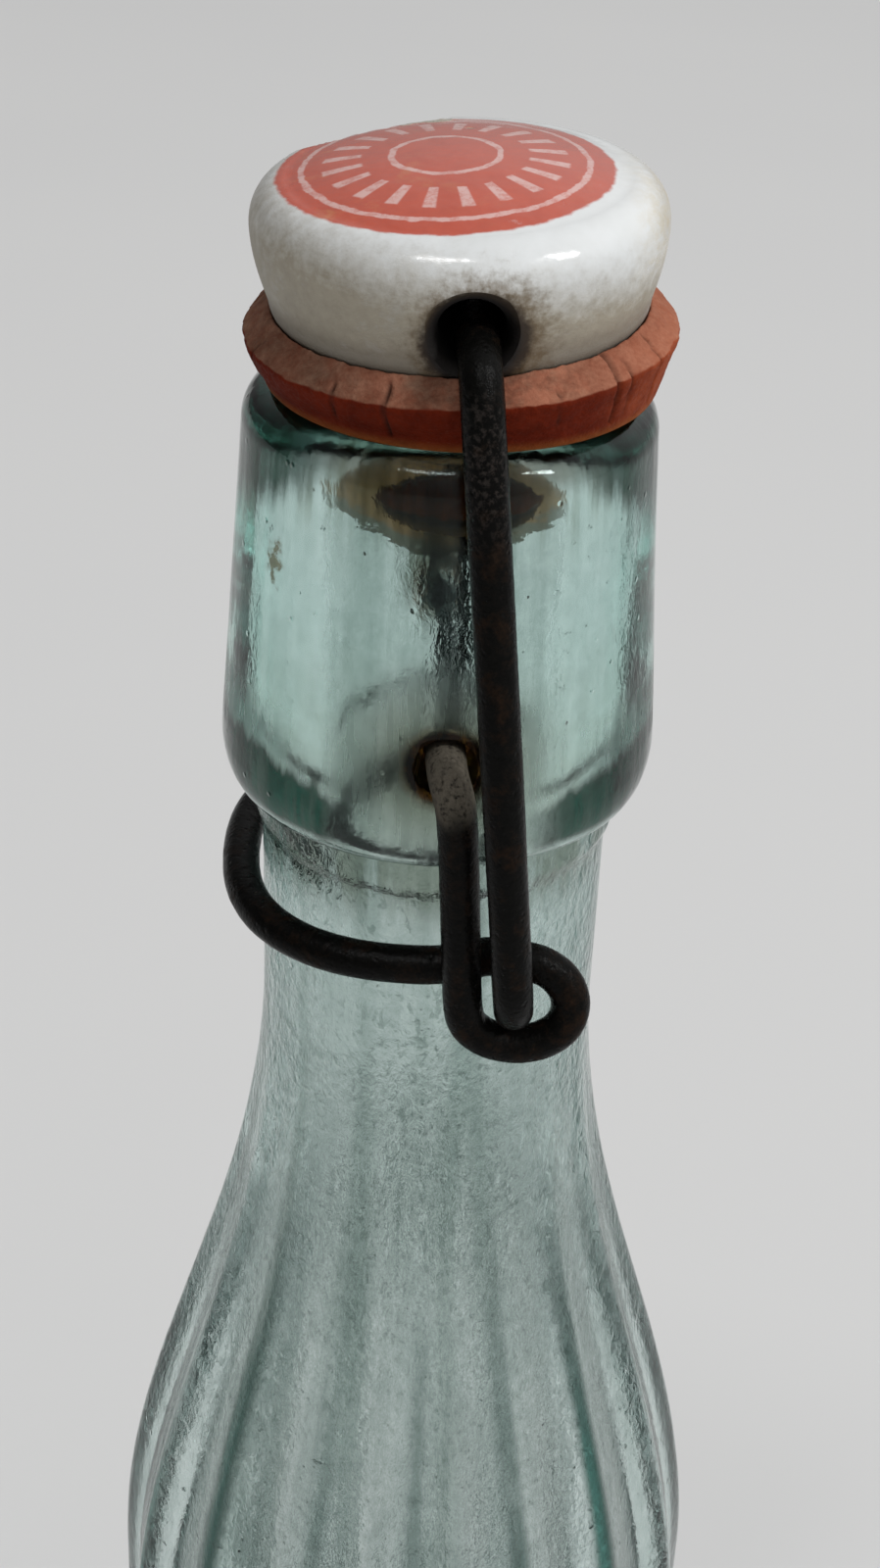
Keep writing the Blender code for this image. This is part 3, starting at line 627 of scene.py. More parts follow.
def rubber_material():
    """Perished red rubber: dark red at its side in painted shade, a paler orange towards the lit right,
    dusty on top and pinker towards the right in painted light, brown in the mouth, with dark cracks.
    """
    made, net, shader = new_material("perished_red_rubber", IOR=1.45, Specular_IOR_Level=0.08)
    place = net.attribute("plug_place", "Vector")
    crack = net.attribute("crack", "Fac")
    x, _, z = place.millimetres()
    cloud = place.mottle(2.2, 0.5, 0.22)
    dust = place.mottle(1.6, 0.5, 0.22)
    pale = place.mottle(5, 0.5, 0.12)
    # painted light and shade: the side is a shaded dark red, turning to a paler lit orange towards the right
    red = cloud["Mask"].mix(*RUBBER["red"])
    lit_orange = cloud["Mask"].mix(*RUBBER["lit_orange"])
    tone = x.ramp(7, 13.6).mix(red, lit_orange)
    dusty = (dust["Mask"] * 0.6 + dust["Fine"] * 0.4).mix(*RUBBER["dust"])
    pinkish = dust["Fine"].mix(*RUBBER["pink"])
    # pale pink patches on top, with painted light that makes the top pinker and paler towards the right
    pale_and_lit = net.highest(pale["Mask"], x.ramp(-2, 13)) * x.ramp(-11, 4, 0.25, 0.85)
    facing_up = net.geometry("Normal").split()[2].ramp(0.2, 0.55)
    cover = facing_up * (dust["Mask"] * 0.4 + 0.6)
    tone = cover.mix(tone, pale_and_lit.mix(dusty, pinkish))
    inner = cloud["Fine"].mix(*RUBBER["brown"])
    tone = z.fall(SEAT_HEIGHT - 1.2, SEAT_HEIGHT + 0.6).mix(tone, inner)
    tone = (crack * 0.9).mix(tone, RUBBER["crack"])
    grain = place.noise(3200, 4, 0.7).bump(0.5, 0.12)
    rough = dust["Fine"].ramp(0.3, 0.7, 0.6, 0.9)
    net.fill(shader, Base_Color=tone, Roughness=rough, Normal=cloud["Fine"].bump(0.5, 0.25, grain))
    return made


def iron_material():
    """Blackened iron wire with brown rust in patches, bare metal in spots, and a lighter rubbed patch on the
    yoke's shoulders that is also a painted highlight.
    """
    made, net, shader = new_material("blackened_iron_wire", IOR=1.5, Specular_IOR_Level=0.05)
    place = net.object_place()
    x, y, z = place.millimetres()
    rust = place.mottle(2, 0.4, 0.12)
    bare = place.mottle(0.9, 0.3, 0.05)
    black = rust["Fine"].mix(*IRON["black"])
    brown = rust["Fine"].mix(*IRON["rust"])
    tone = (rust["Mask"] * 0.75).mix(black, brown)
    tone = (bare["Mask"] * 0.3).mix(tone, IRON["bare"])
    # grey crust on the bends by the pivots
    crusted = net.length(x, z - PIVOT.z).fall(1.8, 3.6) * rust["Fine"].ramp(0.25, 0.55)
    crusted = crusted * abs(y).fall(17.8, 18.4)
    tone = (crusted * 0.72).mix(tone, bare["Fine"].mix(*IRON["crust"]))
    # the yoke's shoulders, rubbed by fingers, lighter and more metallic as a painted highlight on the bends
    # too
    rubbed = z.ramp(204, 210) * abs(y).ramp(16.2, 17.2) * rust["Fine"].ramp(0.46, 0.66)
    tone = (rubbed * 0.4).mix(tone, IRON["rubbed"])
    clean = 1 - net.highest(rust["Mask"], crusted)
    metal = net.highest(bare["Mask"] * clean * 0.4, rubbed * 0.35)
    matt = clean.ramp(0, 1, 0.58, 0.24, smooth=False)
    pitted = place.pits(0.55, 0.4, 0.5)
    fine = place.noise(1700, 4, 0.65).bump(0.6, 0.16)
    pits = pitted.bump(0.4, -0.1, fine)
    net.fill(shader, Base_Color=tone, Metallic=metal, Roughness=matt, Normal=pits)
    return made


# ---- mesh helpers


def smooth_share(share):
    held = min(max(share, 0.0), 1.0)
    return (1 - math.cos(math.pi * held)) / 2


def steps_between(low, high, count):
    return [low + (high - low) * step / count for step in range(count + 1)]


def shares(steps):
    return steps_between(0, 1, steps)[1:]


def arc(centre, radius, start, end, steps):
    """Points (radius, height) about centre, from one angle in degrees to another."""
    turns = [math.radians(turn) for turn in steps_between(start, end, steps)]
    return [(centre[0] + radius * math.cos(turn), centre[1] + radius * math.sin(turn)) for turn in turns]


def even(points, spacing):
    """The same outline with a point every spacing or less, its own points kept."""
    made = [points[0]]
    for a, b in zip(points, points[1:]):
        length = math.hypot(b[0] - a[0], b[1] - a[1])
        if length < spacing * 0.02:
            continue
        count = max(1, math.ceil(length / spacing))
        for step in range(1, count + 1):
            made.append((a[0] + (b[0] - a[0]) * step / count, a[1] + (b[1] - a[1]) * step / count))
    return made


def rounded(points, radius, steps=4):
    """The outline with each inner corner turned into a small curve."""
    made = [points[0]]
    for a, b, c in zip(points, points[1:], points[2:]):
        before, corner, after = Vector(a), Vector(b), Vector(c)
        reach = min(radius, (corner - before).length / 2, (after - corner).length / 2)
        start = corner + (before - corner).normalized() * reach
        end = corner + (after - corner).normalized() * reach
        for share in steps_between(0, 1, steps):
            made.append(tuple(start.lerp(corner, share).lerp(corner.lerp(end, share), share)))
    made.append(points[-1])
    return made


def revolve(name, outline, segments, closed=False):
    """Turns an outline about Z. An open one starts and ends on the axis; a closed one is a ring."""
    bm = bmesh.new()
    turns = [2 * math.pi * step / segments for step in range(segments)]
    rows = []
    for radius, height in outline:
        corners = [(radius * math.cos(turn), radius * math.sin(turn), height) for turn in turns]
        if radius < 1e-6:
            corners = [(0, 0, height)]
        rows.append([bm.verts.new([value * MM for value in corner]) for corner in corners])
    pairs = list(zip(rows, rows[1:]))
    if closed:
        pairs.append((rows[-1], rows[0]))
    for low, high in pairs:
        for step in range(segments):
            after = (step + 1) % segments
            near, far = step % len(low), after % len(low)
            ring = [low[near], low[far], high[after % len(high)], high[step % len(high)]]
            bm.faces.new(list(dict.fromkeys(ring)))
    bmesh.ops.recalc_face_normals(bm, faces=bm.faces)
    mesh = bpy.data.meshes.new(name)
    bm.to_mesh(mesh)
    bm.free()
    mesh.shade_smooth()
    return mesh


def stand(name, data):
    obj = bpy.data.objects.new(name, data)
    scene.collection.objects.link(obj)
    return obj


def baked(obj, name):
    """The object's evaluated result as a plain mesh object of its own; the first one is removed."""
    bpy.context.view_layer.update()
    graph = bpy.context.evaluated_depsgraph_get()
    mesh = bpy.data.meshes.new_from_object(obj.evaluated_get(graph), depsgraph=graph)
    bpy.data.objects.remove(obj, do_unlink=True)
    mesh.name = name
    return stand(name, mesh)


def places(mesh):
    co = np.empty(len(mesh.vertices) * 3, np.float32)
    mesh.vertices.foreach_get("co", co)
    return co.reshape(-1, 3).astype(float)


def set_places(mesh, co):
    mesh.vertices.foreach_set("co", co.astype(np.float32).ravel())
    mesh.update()


def set_attribute(mesh, name, values):
    vector = values.ndim == 2
    made = mesh.attributes.new(name, "FLOAT_VECTOR" if vector else "FLOAT", "POINT")
    made.data.foreach_set("vector" if vector else "value", values.astype(np.float32).ravel())


def share_of(values, start, span):
    """How far each value is past the start, from 0 to 1 over the span."""
    return np.clip((values - start) / span, 0, 1)


def ragged(co, scale, seed, octaves=3):
    """Smooth noise from -1 to 1 at each place, at a size in millimetres."""
    step = Vector((seed * 7.3, seed * 3.1, seed * 5.7))
    return np.array([mnoise.fractal(Vector(p) / (scale * MM) + step, 0.7, 2.0, octaves) for p in co])


def flared_cutter(name, outline, place, turn):
    """A turned cutter whose axis is laid along a direction."""
    cutter = stand(name, revolve(name, outline, 64))
    cutter.data.transform(Matrix.Translation(place * MM) @ turn)
    return cutter


def cut_away(obj, cutters, name):
    for cutter in cutters:
        modifier = obj.modifiers.new(cutter.name, "BOOLEAN")
        modifier.operation = "DIFFERENCE"
        modifier.solver = "EXACT"
        modifier.object = cutter
    result = baked(obj, name)
    for cutter in cutters:
        bpy.data.objects.remove(cutter, do_unlink=True)
    return result


# ---- geometry node trees


def geometry_net(name, inputs):
    inputs = {"Geometry": "NodeSocketGeometry", **inputs, "Material": "NodeSocketMaterial"}
    return GroupNet(name, "GeometryNodeTree", inputs, {"Geometry": "NodeSocketGeometry"})


def close_tree(net, geometry):
    """Every tree ends in Realize Instances and Set Material."""
    real = net.step("GeometryNodeRealizeInstances", Geometry=geometry)
    painted = net.step("GeometryNodeSetMaterial", Geometry=real, Material=net.given["Material"])
    net.put(net.ends["Geometry"], painted)
    return net.tree


def run_tree(obj, tree, name, **values):
    """Runs the tree on the object with its named inputs set, and returns the result as a plain mesh."""
    sockets = tree.interface.items_tree
    identifiers = {item.name: item.identifier for item in sockets if item.in_out == "INPUT"}
    modifier = obj.modifiers.new(tree.name, "NODES")
    modifier.node_group = tree
    for label, value in values.items():
        modifier[identifiers[label.replace("_", " ")]] = value
    return baked(obj, name)


def make_fluting():
    """Presses flutes into the outside of a turned body; the mesh says in 'outside' where that is."""
    net = geometry_net("press_flutes", {
        "Count": 16.0, "Depth": 0.001, "Foot": 0.0, "Foot Fade": 0.01, "Top": 0.1, "Top Fade": 0.04,
        "Ridge Round": 0.05,
    })
    given = net.given
    place = net.step("GeometryNodeInputPosition")
    x, y, z = place.split()
    angle = net.math("ARCTAN2", y, x) - math.pi / 2
    wave = abs(net.math("SINE", angle * (given["Count"] * 0.5)))
    ridge = given["Ridge Round"]
    squared = ridge * ridge
    pressed = net.math("SQRT", wave * wave + squared) - ridge
    pressed = pressed / (net.math("SQRT", squared + 1.0) - ridge)
    rise = z.ramp(given["Foot"], given["Foot"] + given["Foot Fade"])
    fade = z.fall(given["Top"] - given["Top Fade"], given["Top"])
    outside = net.step("GeometryNodeInputNamedAttribute", Name="outside")
    push = pressed * given["Depth"] * (rise * fade) * outside
    inwards = net.vmath("NORMALIZE", place.scaled((-1, -1, 0)))
    offset = net.vmath("SCALE", inwards, scale=push)
    return close_tree(net, net.step("GeometryNodeSetPosition", Geometry=given["Geometry"], Offset=offset))


def make_drawn_wire():
    """Sweeps a round, slightly pitted wire along a curve, with its cut ends a little rounded."""
    net = geometry_net("draw_wire", {
        "Radius": 0.00135, "Step": 0.0003, "Sides": 32, "Pitting": 0.00003, "Pit Size": 0.001,
        "End Round": 0.0004,
    })
    given = net.given
    resample = net.add("GeometryNodeResampleCurve", mode="LENGTH")
    spaced = net.out(net.fill(resample, Curve=given["Geometry"], Length=given["Step"]))
    along = net.out(net.add("GeometryNodeSplineParameter"), "Length")
    whole = net.out(net.add("GeometryNodeSplineLength"), "Length")
    to_end = net.math("MINIMUM", along, whole - along)
    short = 1.0 - net.math("DIVIDE", to_end, given["End Round"], clamp=True)
    sized = net.step("GeometryNodeSetCurveRadius", Curve=spaced, Radius=1.0 - short * short * 0.3)
    circle = net.step("GeometryNodeCurvePrimitiveCircle", Resolution=given["Sides"], Radius=given["Radius"])
    swept = net.step("GeometryNodeCurveToMesh", Curve=sized, Profile_Curve=circle, Fill_Caps=True)
    place = net.step("GeometryNodeInputPosition")
    rough = place.noise(1.0 / given["Pit Size"], 3.0, 0.6)
    push = (rough - 0.6) * (given["Pitting"] * 2.0)
    offset = net.vmath("SCALE", net.step("GeometryNodeInputNormal"), scale=push)
    moved = net.step("GeometryNodeSetPosition", Geometry=swept, Offset=offset)
    return close_tree(net, net.step("GeometryNodeSetShadeSmooth", Geometry=moved))


# ---- the bottle


def up_shoulder(height):
    return smooth_share((height - BODY_TOP) / (SHOULDER_TOP - BODY_TOP))


def outer_radius(height):
    heel = smooth_share((height - BODY_FOOT + FLUTE_BOTTOM_FADE) / FLUTE_BOTTOM_FADE)
    body = HEEL_RADIUS + (BODY_RADIUS - HEEL_RADIUS) * heel
    return body + (NECK_RADIUS - body) * up_shoulder(height)


def inner_radius(height):
    wall = BODY_WALL + (NECK_WALL - BODY_WALL) * up_shoulder(height)
    return min(outer_radius(height), BODY_RADIUS) - wall


def glass_outlines():
    """The outside from the push-up's middle to the lip's crest, and the inside from there to the floor."""
    outside = [(STANDING_INNER * share, PUSH_UP * (1 - share**2)) for share in steps_between(0, 0.97, 24)]
    outside += rounded([outside[-1], (STANDING_INNER, 0), (HEEL_RADIUS - HEEL_ROUND, 0)], 0.6)[1:]
    outside += arc((HEEL_RADIUS - HEEL_ROUND, HEEL_ROUND), HEEL_ROUND, -90, 0, 16)[1:]
    heights = steps_between(HEEL_ROUND + 0.8, BODY_FOOT, 10)[:-1]
    heights += steps_between(BODY_FOOT, BODY_TOP, 16)[:-1] + steps_between(BODY_TOP, SHOULDER_TOP, 50)
    side = [(outer_radius(height), height) for height in heights]
    collar = [
        (NECK_RADIUS, SHOULDER_TOP + 0.5), (NECK_RADIUS, NECK_TOP),
        (BEAD_RADIUS, NECK_TOP + (BEAD_RADIUS - NECK_RADIUS) * 2), (BEAD_RADIUS, RING),
        (BLOB_FOOT_RADIUS, RING + 0.05),
    ]
    collar = even(rounded(collar, 0.55, 5), 0.6)
    blob = []
    for share in steps_between(0.04, 1, 14):
        bulge = math.sqrt(1 - (1 - share) ** 2)
        radius = BLOB_FOOT_RADIUS + (BLOB_RADIUS - BLOB_FOOT_RADIUS) * bulge
        blob.append((radius, RING + BLOB_FOOT_HEIGHT * share))
    blob += arc((BLOB_TOP_RADIUS - LIP_OUTER_ROUND, LIP - LIP_OUTER_ROUND), LIP_OUTER_ROUND, 0, 90, 14)
    outside = even(outside, 1.5) + side + collar + even(blob, 1.2)
    inside = arc((BORE_RADIUS + LIP_INNER_ROUND, LIP - LIP_INNER_ROUND), LIP_INNER_ROUND, 90, 180, 12)
    inside = even([*inside, (BORE_RADIUS, NECK_TOP)], 1.6)
    heights = reversed(steps_between(BODY_TOP, SHOULDER_TOP, 34))
    inside += [(inner_radius(height), height) for height in heights]
    foot = inner_radius(BODY_FOOT)
    inside = even([*inside, (foot, BODY_FOOT)], 5.0)
    inside += arc((foot - FLOOR_ROUND, FLOOR_THICKNESS + FLOOR_ROUND), FLOOR_ROUND, 0, -90, 16)
    return outside, [*inside, (0, FLOOR_THICKNESS + PUSH_UP / 2)]


def build_glass(surface):
    outside, inside = glass_outlines()
    mesh = revolve("glass", outside + inside, FLUTE_COUNT * FLUTE_SEGMENTS)
    co = places(mesh)
    radius = np.hypot(co[:, 0], co[:, 1]) / MM
    height = co[:, 2] / MM
    outer = np.array([outer_radius(z) if z < SHOULDER_TOP else 0 for z in height])
    on_side = (height > HEEL_ROUND) & (height < SHOULDER_TOP) & (radius > outer - 0.3)
    set_attribute(mesh, "outside", on_side.astype(float))
    fluted = run_tree(
        stand("glass_blank", mesh), make_fluting(), "glass_fluted", Count=float(FLUTE_COUNT),
        Depth=FLUTE_DEPTH * MM, Foot=(BODY_FOOT - FLUTE_BOTTOM_FADE) * MM,
        Foot_Fade=FLUTE_BOTTOM_FADE * MM, Top=SHOULDER_TOP * MM, Top_Fade=FLUTE_TOP_FADE * MM,
        Ridge_Round=FLUTE_RIDGE_ROUND, Material=surface,
    )
    # hand-made unevenness, small beside the wall
    co = places(fluted.data)
    height = co[:, 2] / MM
    flat = co * (1, 1, 0)
    reach = np.maximum(np.linalg.norm(flat, axis=1), 1e-6)
    on_outside = share_of(reach / MM, 9, 3) * share_of(height, 6, 6)
    on_inside = share_of(reach / MM, 9.4, -0.4) * share_of(height, 110, 20) * share_of(height, LIP, -4)
    move = ragged(co, 22, 1, 2) * GLASS_SWELL * MM * on_outside
    move = move + ragged(co, 13, 5, 2) * BORE_SWELL * MM * on_inside
    set_places(fluted.data, co + flat / reach[:, None] * move[:, None])
    outline = [(0, -PIVOT_HOLE_DEPTH), (PIVOT_HOLE_END_RADIUS - 0.3, -PIVOT_HOLE_DEPTH)]
    outline += [(PIVOT_HOLE_END_RADIUS, 0.3 - PIVOT_HOLE_DEPTH)]
    outline += [(PIVOT_HOLE_RADIUS + wider, out) for wider, out in PIVOT_MOUTH] + [(0, PIVOT_MOUTH[-1][1])]
    outline = even(rounded(outline, 0.2, 3), 0.6)
    cutters = []
    for side in (-1, 1):
        turn = Matrix.Rotation(-side * math.pi / 2, 4, "X")
        at = Vector((0, side * BLOB_RADIUS, PIVOT.z - PIVOT_HOLE_SAG))
        cutters.append(flared_cutter("pivot_cutter", outline, at, turn))
    glass = cut_away(fluted, cutters, "bottle_glass_wall")
    glass.data.shade_smooth()
    return glass


# ---- the wires


def straight(start, end, steps):
    return [Vector(start).lerp(Vector(end), share) for share in shares(steps)]


def quarter(steps):
    """The sine and cosine at even steps through a quarter turn, its start left out."""
    turns = [math.pi / 2 * share for share in shares(steps)]
    return [(math.sin(turn), math.cos(turn)) for turn in turns]


def mirrored(half):
    return half + [Vector((p.x, -p.y, p.z)) for p in reversed(half)][1:]


def eased(route, passes):
    for _ in range(passes):
        inner = [(a + 2 * b + c) / 4 for a, b, c in zip(route, route[1:], route[2:])]
        route = [route[0], *inner, route[-1]]
    return route


def lever_route():
    start = (0, PIVOT_HOLE_DEPTH - FIT - BLOB_RADIUS, PIVOT.z)
    bend_y = -(LEG_Y - PIN_BEND)
    half = [Vector(start)] + straight(start, (0, bend_y, PIVOT.z), 3)
    for sine, cosine in quarter(12):
        bent = 1 - cosine
        half.append(Vector((LEG_TOP_X * bent, bend_y - PIN_BEND * sine, PIVOT.z - PIN_BEND * bent)))
    half += straight(half[-1], (LOOP.x - LOOP_LEFT, -LEG_Y, LOOP.z), 16)
    centre = LOOP.x + (LOOP_RIGHT - LOOP_LEFT) / 2
    half_width = (LOOP_RIGHT + LOOP_LEFT) / 2
    half_height = 2 * WIRE_RADIUS + LOOP_PLAY / 2
    for share in shares(60):
        turn = math.pi + 1.5 * math.pi * share
        inward = LOOP_INWARD * smooth_share((share - 0.45) / 0.55)
        y = -(LEG_Y + (BOW_Y - LEG_Y) * inward)
        x, z = centre + half_width * math.cos(turn), LOOP.z + half_height * math.sin(turn)
        half.append(Vector((x, y, z)))
    top = half[-1]
    bow_z = RING - BOW_DROP
    for share in shares(18):
        y = top.y + (-BOW_Y - top.y) * smooth_share(share / 0.45)
        half.append(Vector((top.x * (1 - share), y, top.z + (bow_z - top.z) * smooth_share(share))))
    power = 2 / BOW_SQUARENESS
    for sine, cosine in quarter(60)[:-1]:
        half.append(Vector((-BOW_RADIUS * sine**power, -BOW_Y * cosine**power, bow_z)))
    half.append(Vector((-BOW_RADIUS, 0, bow_z)))
    return eased(mirrored(half), 14)


def yoke_route():
    start = (LOOP.x, -(math.sqrt(NECK_RADIUS**2 - LOOP.x**2) + FOOT_END_GAP + FIT), LOOP.z)
    bend_y = -(YOKE_Y - FOOT_BEND)
    half = [Vector(start)] + straight(start, (LOOP.x, bend_y, LOOP.z), 3)
    for sine, cosine in quarter(16):
        half.append(Vector((LOOP.x, bend_y - FOOT_BEND * sine, LOOP.z + FOOT_BEND * (1 - cosine))))
    shoulder_z = BAR.z - YOKE_SHOULDER
    half += straight(half[-1], (LOOP.x, -YOKE_Y, shoulder_z - YOKE_SPLAY_DROP), 12)
    half += straight(half[-1], (LOOP.x, -YOKE_TOP_Y, shoulder_z), 24)
    for sine, cosine in quarter(16):
        y = -(YOKE_TOP_Y - YOKE_SHOULDER) - YOKE_SHOULDER * cosine
        half.append(Vector((LOOP.x, y, shoulder_z + YOKE_SHOULDER * sine)))
    half += straight(half[-1], (LOOP.x, 0, BAR.z), 8)
    lean = BAR.x - LOOP.x
    leaned = [Vector((p.x + lean * (p.z - LOOP.z) / (BAR.z - LOOP.z), p.y, p.z)) for p in half]
    return eased(mirrored(leaned), 10)


def build_wire(name, route, tree, surface):
    curve = bpy.data.curves.new(name, "CURVE")
    curve.dimensions = "3D"
    spline = curve.splines.new("POLY")
    spline.points.add(len(route) - 1)
    for point, place in zip(spline.points, route):
        point.co = (*(place * MM), 1)
    return run_tree(
        stand(name + "_line", curve), tree, name, Radius=WIRE_RADIUS * MM, Step=0.0003, Sides=28,
        Pitting=0.000035, Pit_Size=0.0011, End_Round=0.0004, Material=surface,
    )


# ---- the stopper and its gasket


def stopper_outline():
    nose_top = END_HEIGHT - FIT
    nose_end = nose_top - NOSE_LENGTH
    outline = [(0, nose_end)]
    outline += arc((NOSE_RADIUS - NOSE_ROUND, nose_end + NOSE_ROUND), NOSE_ROUND, -90, 0, 8)
    stem = [(NOSE_RADIUS, nose_top - NOSE_ROUND / 2), (STEM_RADIUS, nose_top), (STEM_RADIUS, -STEM_DROP)]
    outline += rounded([outline[-1], *stem, (FOOT_CENTRE[0], -SEAT_DROP)], 0.3, 3)[1:]
    outline += arc(FOOT_CENTRE, FOOT_ROUND, -90, 0, 14)[1:]
    cone_z = FOOT_CENTRE[1]
    for share in shares(16):
        swell = FOOT_RADIUS + (STOPPER_RADIUS - FOOT_RADIUS) * math.sin(math.pi / 2 * share)
        outline.append((swell, cone_z + CONE_HEIGHT * share))
    rim_z = cone_z + CONE_HEIGHT
    for sine, cosine in quarter(20):
        radius = DOME_RADIUS + (STOPPER_RADIUS - DOME_RADIUS) * cosine
        outline.append((radius, rim_z + SHOULDER_HEIGHT * sine))
    dome_z = rim_z + SHOULDER_HEIGHT
    for share in reversed(steps_between(0, 0.97, 26)):
        outline.append((DOME_RADIUS * share, dome_z + DOME_RISE * (1 - share**2)))
    return even(outline, 0.45)


def build_stopper(surface):
    mesh = revolve("plug", stopper_outline(), 220)
    co = places(mesh)
    chips = np.zeros(len(co))
    moved = co.copy()
    rough = ragged(co, 1.1, 4, 4)
    for direction, tilt, depth in RIM_FLAKES:
        turn, rise = math.radians(direction), math.radians(tilt)
        level = math.cos(rise)
        facing = np.array([level * math.cos(turn), level * math.sin(turn), math.sin(rise)])
        along = co @ facing / MM
        over = np.clip(along - (along.max() - depth + 0.07 * rough), 0, None)
        moved -= facing * over[:, None] * MM
        chips = np.maximum(chips, np.clip(over / 0.1, 0, 1))
    off = np.linalg.norm((co / MM - LOST_GLAZE) * (0.75, 1.0, 0.5), axis=1)
    lost = np.clip((LOST_GLAZE_REACH + 0.7 * rough - off) / 0.3, 0, 1) * (co[:, 2] > 5 * MM)
    set_places(mesh, moved)
    set_attribute(mesh, "chip", np.clip(np.maximum(chips, lost) * 1.3 - 0.15, 0, 1))
    half = [(HOLE_RADIUS + wider, out) for wider, out in HOLE_FLARE] + [(0, HOLE_FLARE[-1][1])]
    outline = even([(r, -z) for r, z in reversed(half[1:])] + half, 0.6)
    turn = Matrix.Rotation(-STOPPER_TILT, 4, "X") @ Matrix.Rotation(math.pi / 2, 4, "X")
    at = Vector((STOPPER_OFFSET - HOLE_OFFSET, 0, HOLE_HEIGHT))
    cutter = flared_cutter("cross_hole_cutter", outline, at, turn)
    stopper = cut_away(stand("plug_blank", mesh), [cutter], "swing_stopper")
    mesh = stopper.data
    set_attribute(mesh, "plug_place", places(mesh))
    mesh.transform(PLUG_TO_WORLD)
    mesh.materials.clear()
    mesh.materials.append(surface)
    mesh.shade_smooth()
    mesh.set_sharp_from_angle(angle=math.radians(42))
    return stopper


def gasket_outline():
    bore = STEM_RADIUS + FIT
    slope = (STEM_DROP - SEAT_DROP) / (FOOT_CENTRE[0] - STEM_RADIUS)
    dish = arc(FOOT_CENTRE, FOOT_ROUND + HUG, -90, DISH_END, 9)
    corners = [
        (bore, dish[0][1] - slope * (FOOT_CENTRE[0] - bore)), *dish, (RIM_RADIUS - 0.12, -RIM_DROP),
        (RIM_RADIUS, -RIM_DROP - 0.3), (RIM_RADIUS - 0.1, -RIM_DROP - 0.6),
        (GASKET_FOOT, SEAT_HEIGHT + 0.15 - GASKET_DROOP), (GASKET_FOOT - 0.2, SEAT_HEIGHT - GASKET_DROOP),
        (11.4, SEAT_HEIGHT), (9.8, SEAT_HEIGHT), (COLLAR_RADIUS, SEAT_HEIGHT - CONE_DROP),
        (COLLAR_END_RADIUS, END_HEIGHT), (bore, END_HEIGHT),
    ]
    ring = corners[-1:] + corners + corners[:1]
    return even(rounded(ring, 0.18, 2)[1:-1], 0.28)


def build_gasket(surface):
    outline = gasket_outline()
    mesh = revolve("gasket", outline, 420, closed=True)
    co = places(mesh)
    x, y, z = (co / MM).T
    angle = np.arctan2(y, x)
    reach = np.hypot(x, y)
    free = outline[0][1]
    # flat where it lies on the lip and at its end, as crooked as the stopper where it hugs it
    crooked = (x - STOPPER_OFFSET) * math.tan(STOPPER_LEAN) - y * math.tan(STOPPER_TILT)

    def wave(share):
        return (1 - np.cos(np.pi * np.clip(share, 0, 1))) / 2

    level = np.minimum(wave((free - z) / (free - SEAT_HEIGHT)), wave((z - END_HEIGHT) / COLLAR_HEIGHT))
    raised = share_of(z, -RIM_DROP, 1.4) * share_of(reach, 11.4, 0.6)
    by_wire = np.exp(-(((x - STOPPER_OFFSET) / 2.2) ** 4))
    dip = raised * by_wire * (WIRE_DIP + np.clip(y, 0, 1) * math.tan(STOPPER_TILT) * RIM_RADIUS)
    # the rim has perished unevenly, with splits running in from it
    round_rim = np.stack([np.cos(angle) * 14, np.sin(angle) * 14, angle * 0], -1) * MM
    uneven = ragged(round_rim, 5.5, 9, 3)
    crumb = ragged(co, 0.9, 12, 3)
    inward = share_of(reach, 12.6, 1.6) * (0.2 * (0.6 - uneven) + 0.08 * (0.5 - crumb))
    crack = np.zeros(len(co))
    for direction, width, length, depth in SPLITS:
        wander = 0.5 * np.sin(reach * 2.3 + direction)
        off = np.abs((np.degrees(angle) - direction - wander + 180) % 360 - 180)
        near = np.clip(1 - off / width, 0, 1) * share_of(reach, RIM_RADIUS - length, 0.5)
        near = near * (z > SEAT_HEIGHT + 0.4)
        crack = np.maximum(crack, near)
        inward += near * depth
    top = share_of(z, -RIM_DROP - 0.2, 0.5) * share_of(reach, 11.6, 0.6)
    rise = crooked * level - dip - crack * 0.25 * top - top * 0.1 * (0.5 + crumb)
    moved = np.stack([x - np.cos(angle) * inward, y - np.sin(angle) * inward, z + rise], -1)
    set_places(mesh, moved * MM)
    set_attribute(mesh, "plug_place", co)
    set_attribute(mesh, "crack", crack)
    mesh.transform(PLUG_TO_WORLD)
    mesh.materials.append(surface)
    return stand("red_gasket", mesh)


# ---- putting it together

iron = iron_material()
drawn_wire = make_drawn_wire()
PIECES = (
    (build_glass(glass_material()), "bottle", "glass", "glass_bottle"),
    (build_wire("lever_with_loops", lever_route(), drawn_wire, iron), "lever", "iron_wire", "lever_wire"),
    (build_wire("yoke_with_feet", yoke_route(), drawn_wire, iron), "yoke", "iron_wire", "yoke_wire"),
    (build_stopper(porcelain_material()), "stopper", "porcelain", "porcelain_stopper"),
    (build_gasket(rubber_material()), "stopper", "gasket_rubber", "rubber_gasket"),
)
for piece, body, slot, node in PIECES:
    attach(piece, body)
    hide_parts(node)


# ---- floor, light and camera


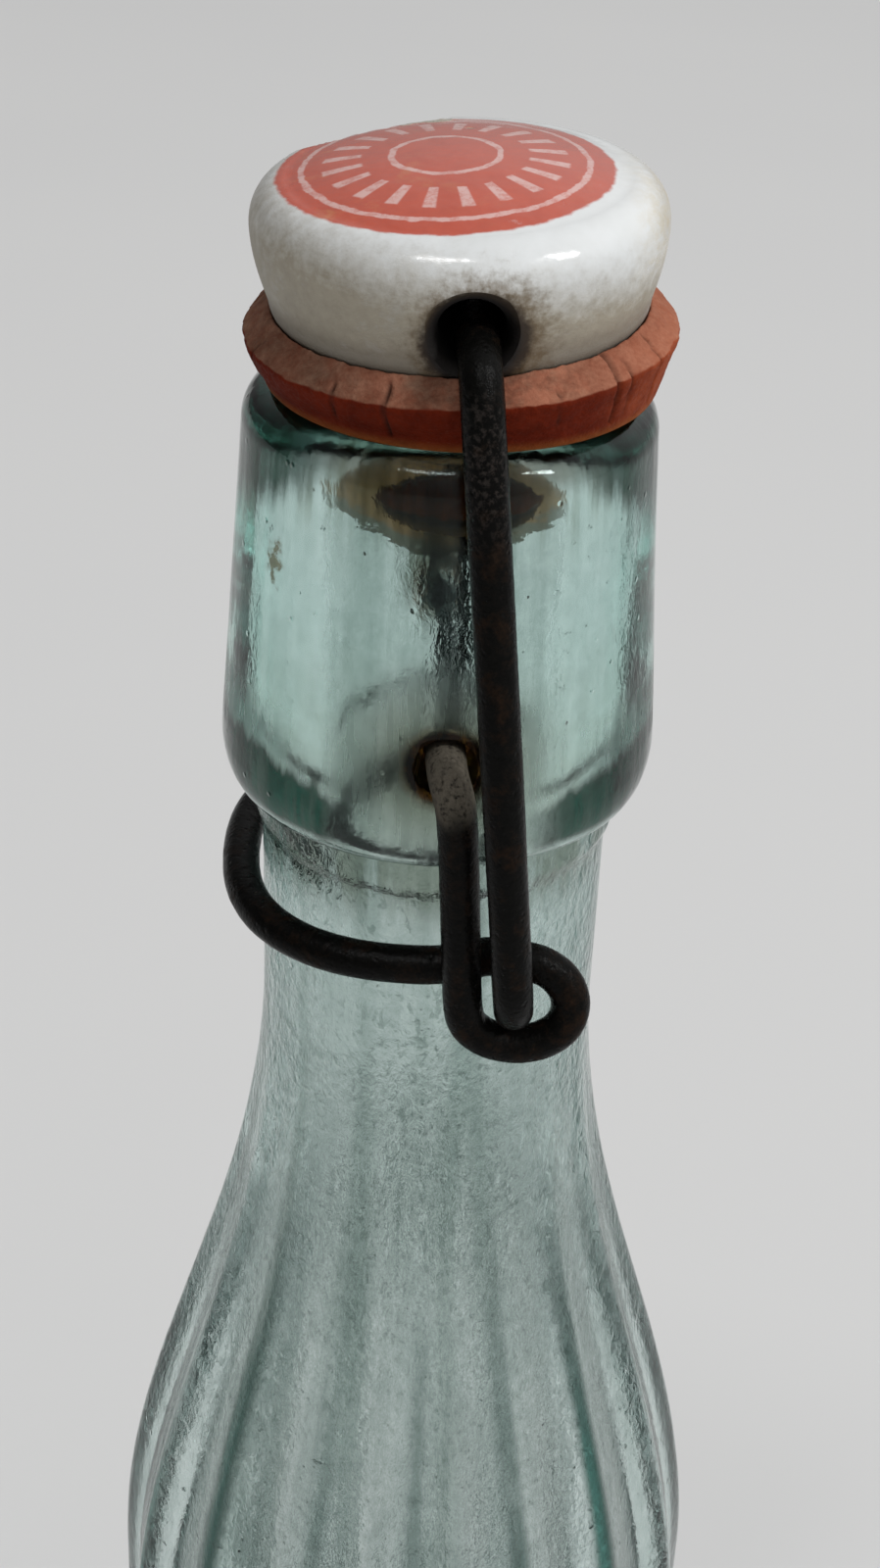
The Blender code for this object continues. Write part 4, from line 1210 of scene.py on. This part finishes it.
def build_floor():
    made, net, shader = new_material("pale_floor", Roughness=0.9, Specular_IOR_Level=0.1)
    net.fill(shader, Base_Color=net.object_place().noise(3.0, 3.0).mix(*FLOOR))
    bm = bmesh.new()
    bmesh.ops.create_grid(bm, x_segments=4, y_segments=4, size=4.0)
    mesh = bpy.data.meshes.new("floor")
    bm.to_mesh(mesh)
    bm.free()
    mesh.materials.append(made)
    stand("floor", mesh)


def build_light():
    for name, place, target, size, power in LAMPS:
        lamp = bpy.data.lights.new(name, "AREA")
        lamp.shape = "RECTANGLE"
        lamp.size, lamp.size_y = size
        lamp.energy = power
        obj = stand(name, lamp)
        obj.location = place
        obj.rotation_euler = (Vector(target) - Vector(place)).to_track_quat("-Z", "Y").to_euler()


def build_surroundings():
    """A plain studio, paler overhead and to the right; the camera itself sees an even pale backdrop."""
    world = bpy.data.worlds.new("studio")
    scene.world = world
    world.use_nodes = True
    net = Net(world.node_tree)
    way = net.out(net.add("ShaderNodeTexCoord"), "Generated").split()
    tone = way[2].ramp(-0.05, 0.65, 0.42, 0.95) * way[0].ramp(-0.85, 0.85, 0.2, 1.25)
    seen = net.out(net.add("ShaderNodeLightPath"), "Is Camera Ray")
    tone = tone * (1.0 - seen) + seen * BACKDROP
    shade = net.step("ShaderNodeCombineColor", Red=tone, Green=tone, Blue=tone)
    net.fill(world.node_tree.nodes["Background"], Color=shade, Strength=1.0)


def build_camera():
    """The photograph's camera: turned a little round the bottle, looking down at the closure."""
    ahead = Vector((0, math.cos(CAMERA_PITCH), -math.sin(CAMERA_PITCH)))
    right = Vector((1, 0, 0))
    up = right.cross(ahead)
    tilted_right = right * math.cos(CAMERA_ROLL) + up * math.sin(CAMERA_ROLL)
    tilted_up = up * math.cos(CAMERA_ROLL) - right * math.sin(CAMERA_ROLL)
    turn = Matrix.Rotation(-CAMERA_ROUND, 3, "Z")
    axes = [turn @ axis for axis in (tilted_right, tilted_up, -ahead)]
    lens = bpy.data.cameras.new("camera")
    lens.sensor_width = 36
    lens.lens = CAMERA_LENS
    lens.clip_start = 0.01
    camera = stand("camera", lens)
    place = turn @ Vector(CAMERA_FROM_RING) + Vector((0, 0, RING))
    camera.matrix_world = Matrix.Translation(place * MM) @ Matrix(axes).transposed().to_4x4()
    scene.camera = camera


build_floor()
build_light()
build_surroundings()
build_camera()
scene.view_settings.view_transform = "Standard"
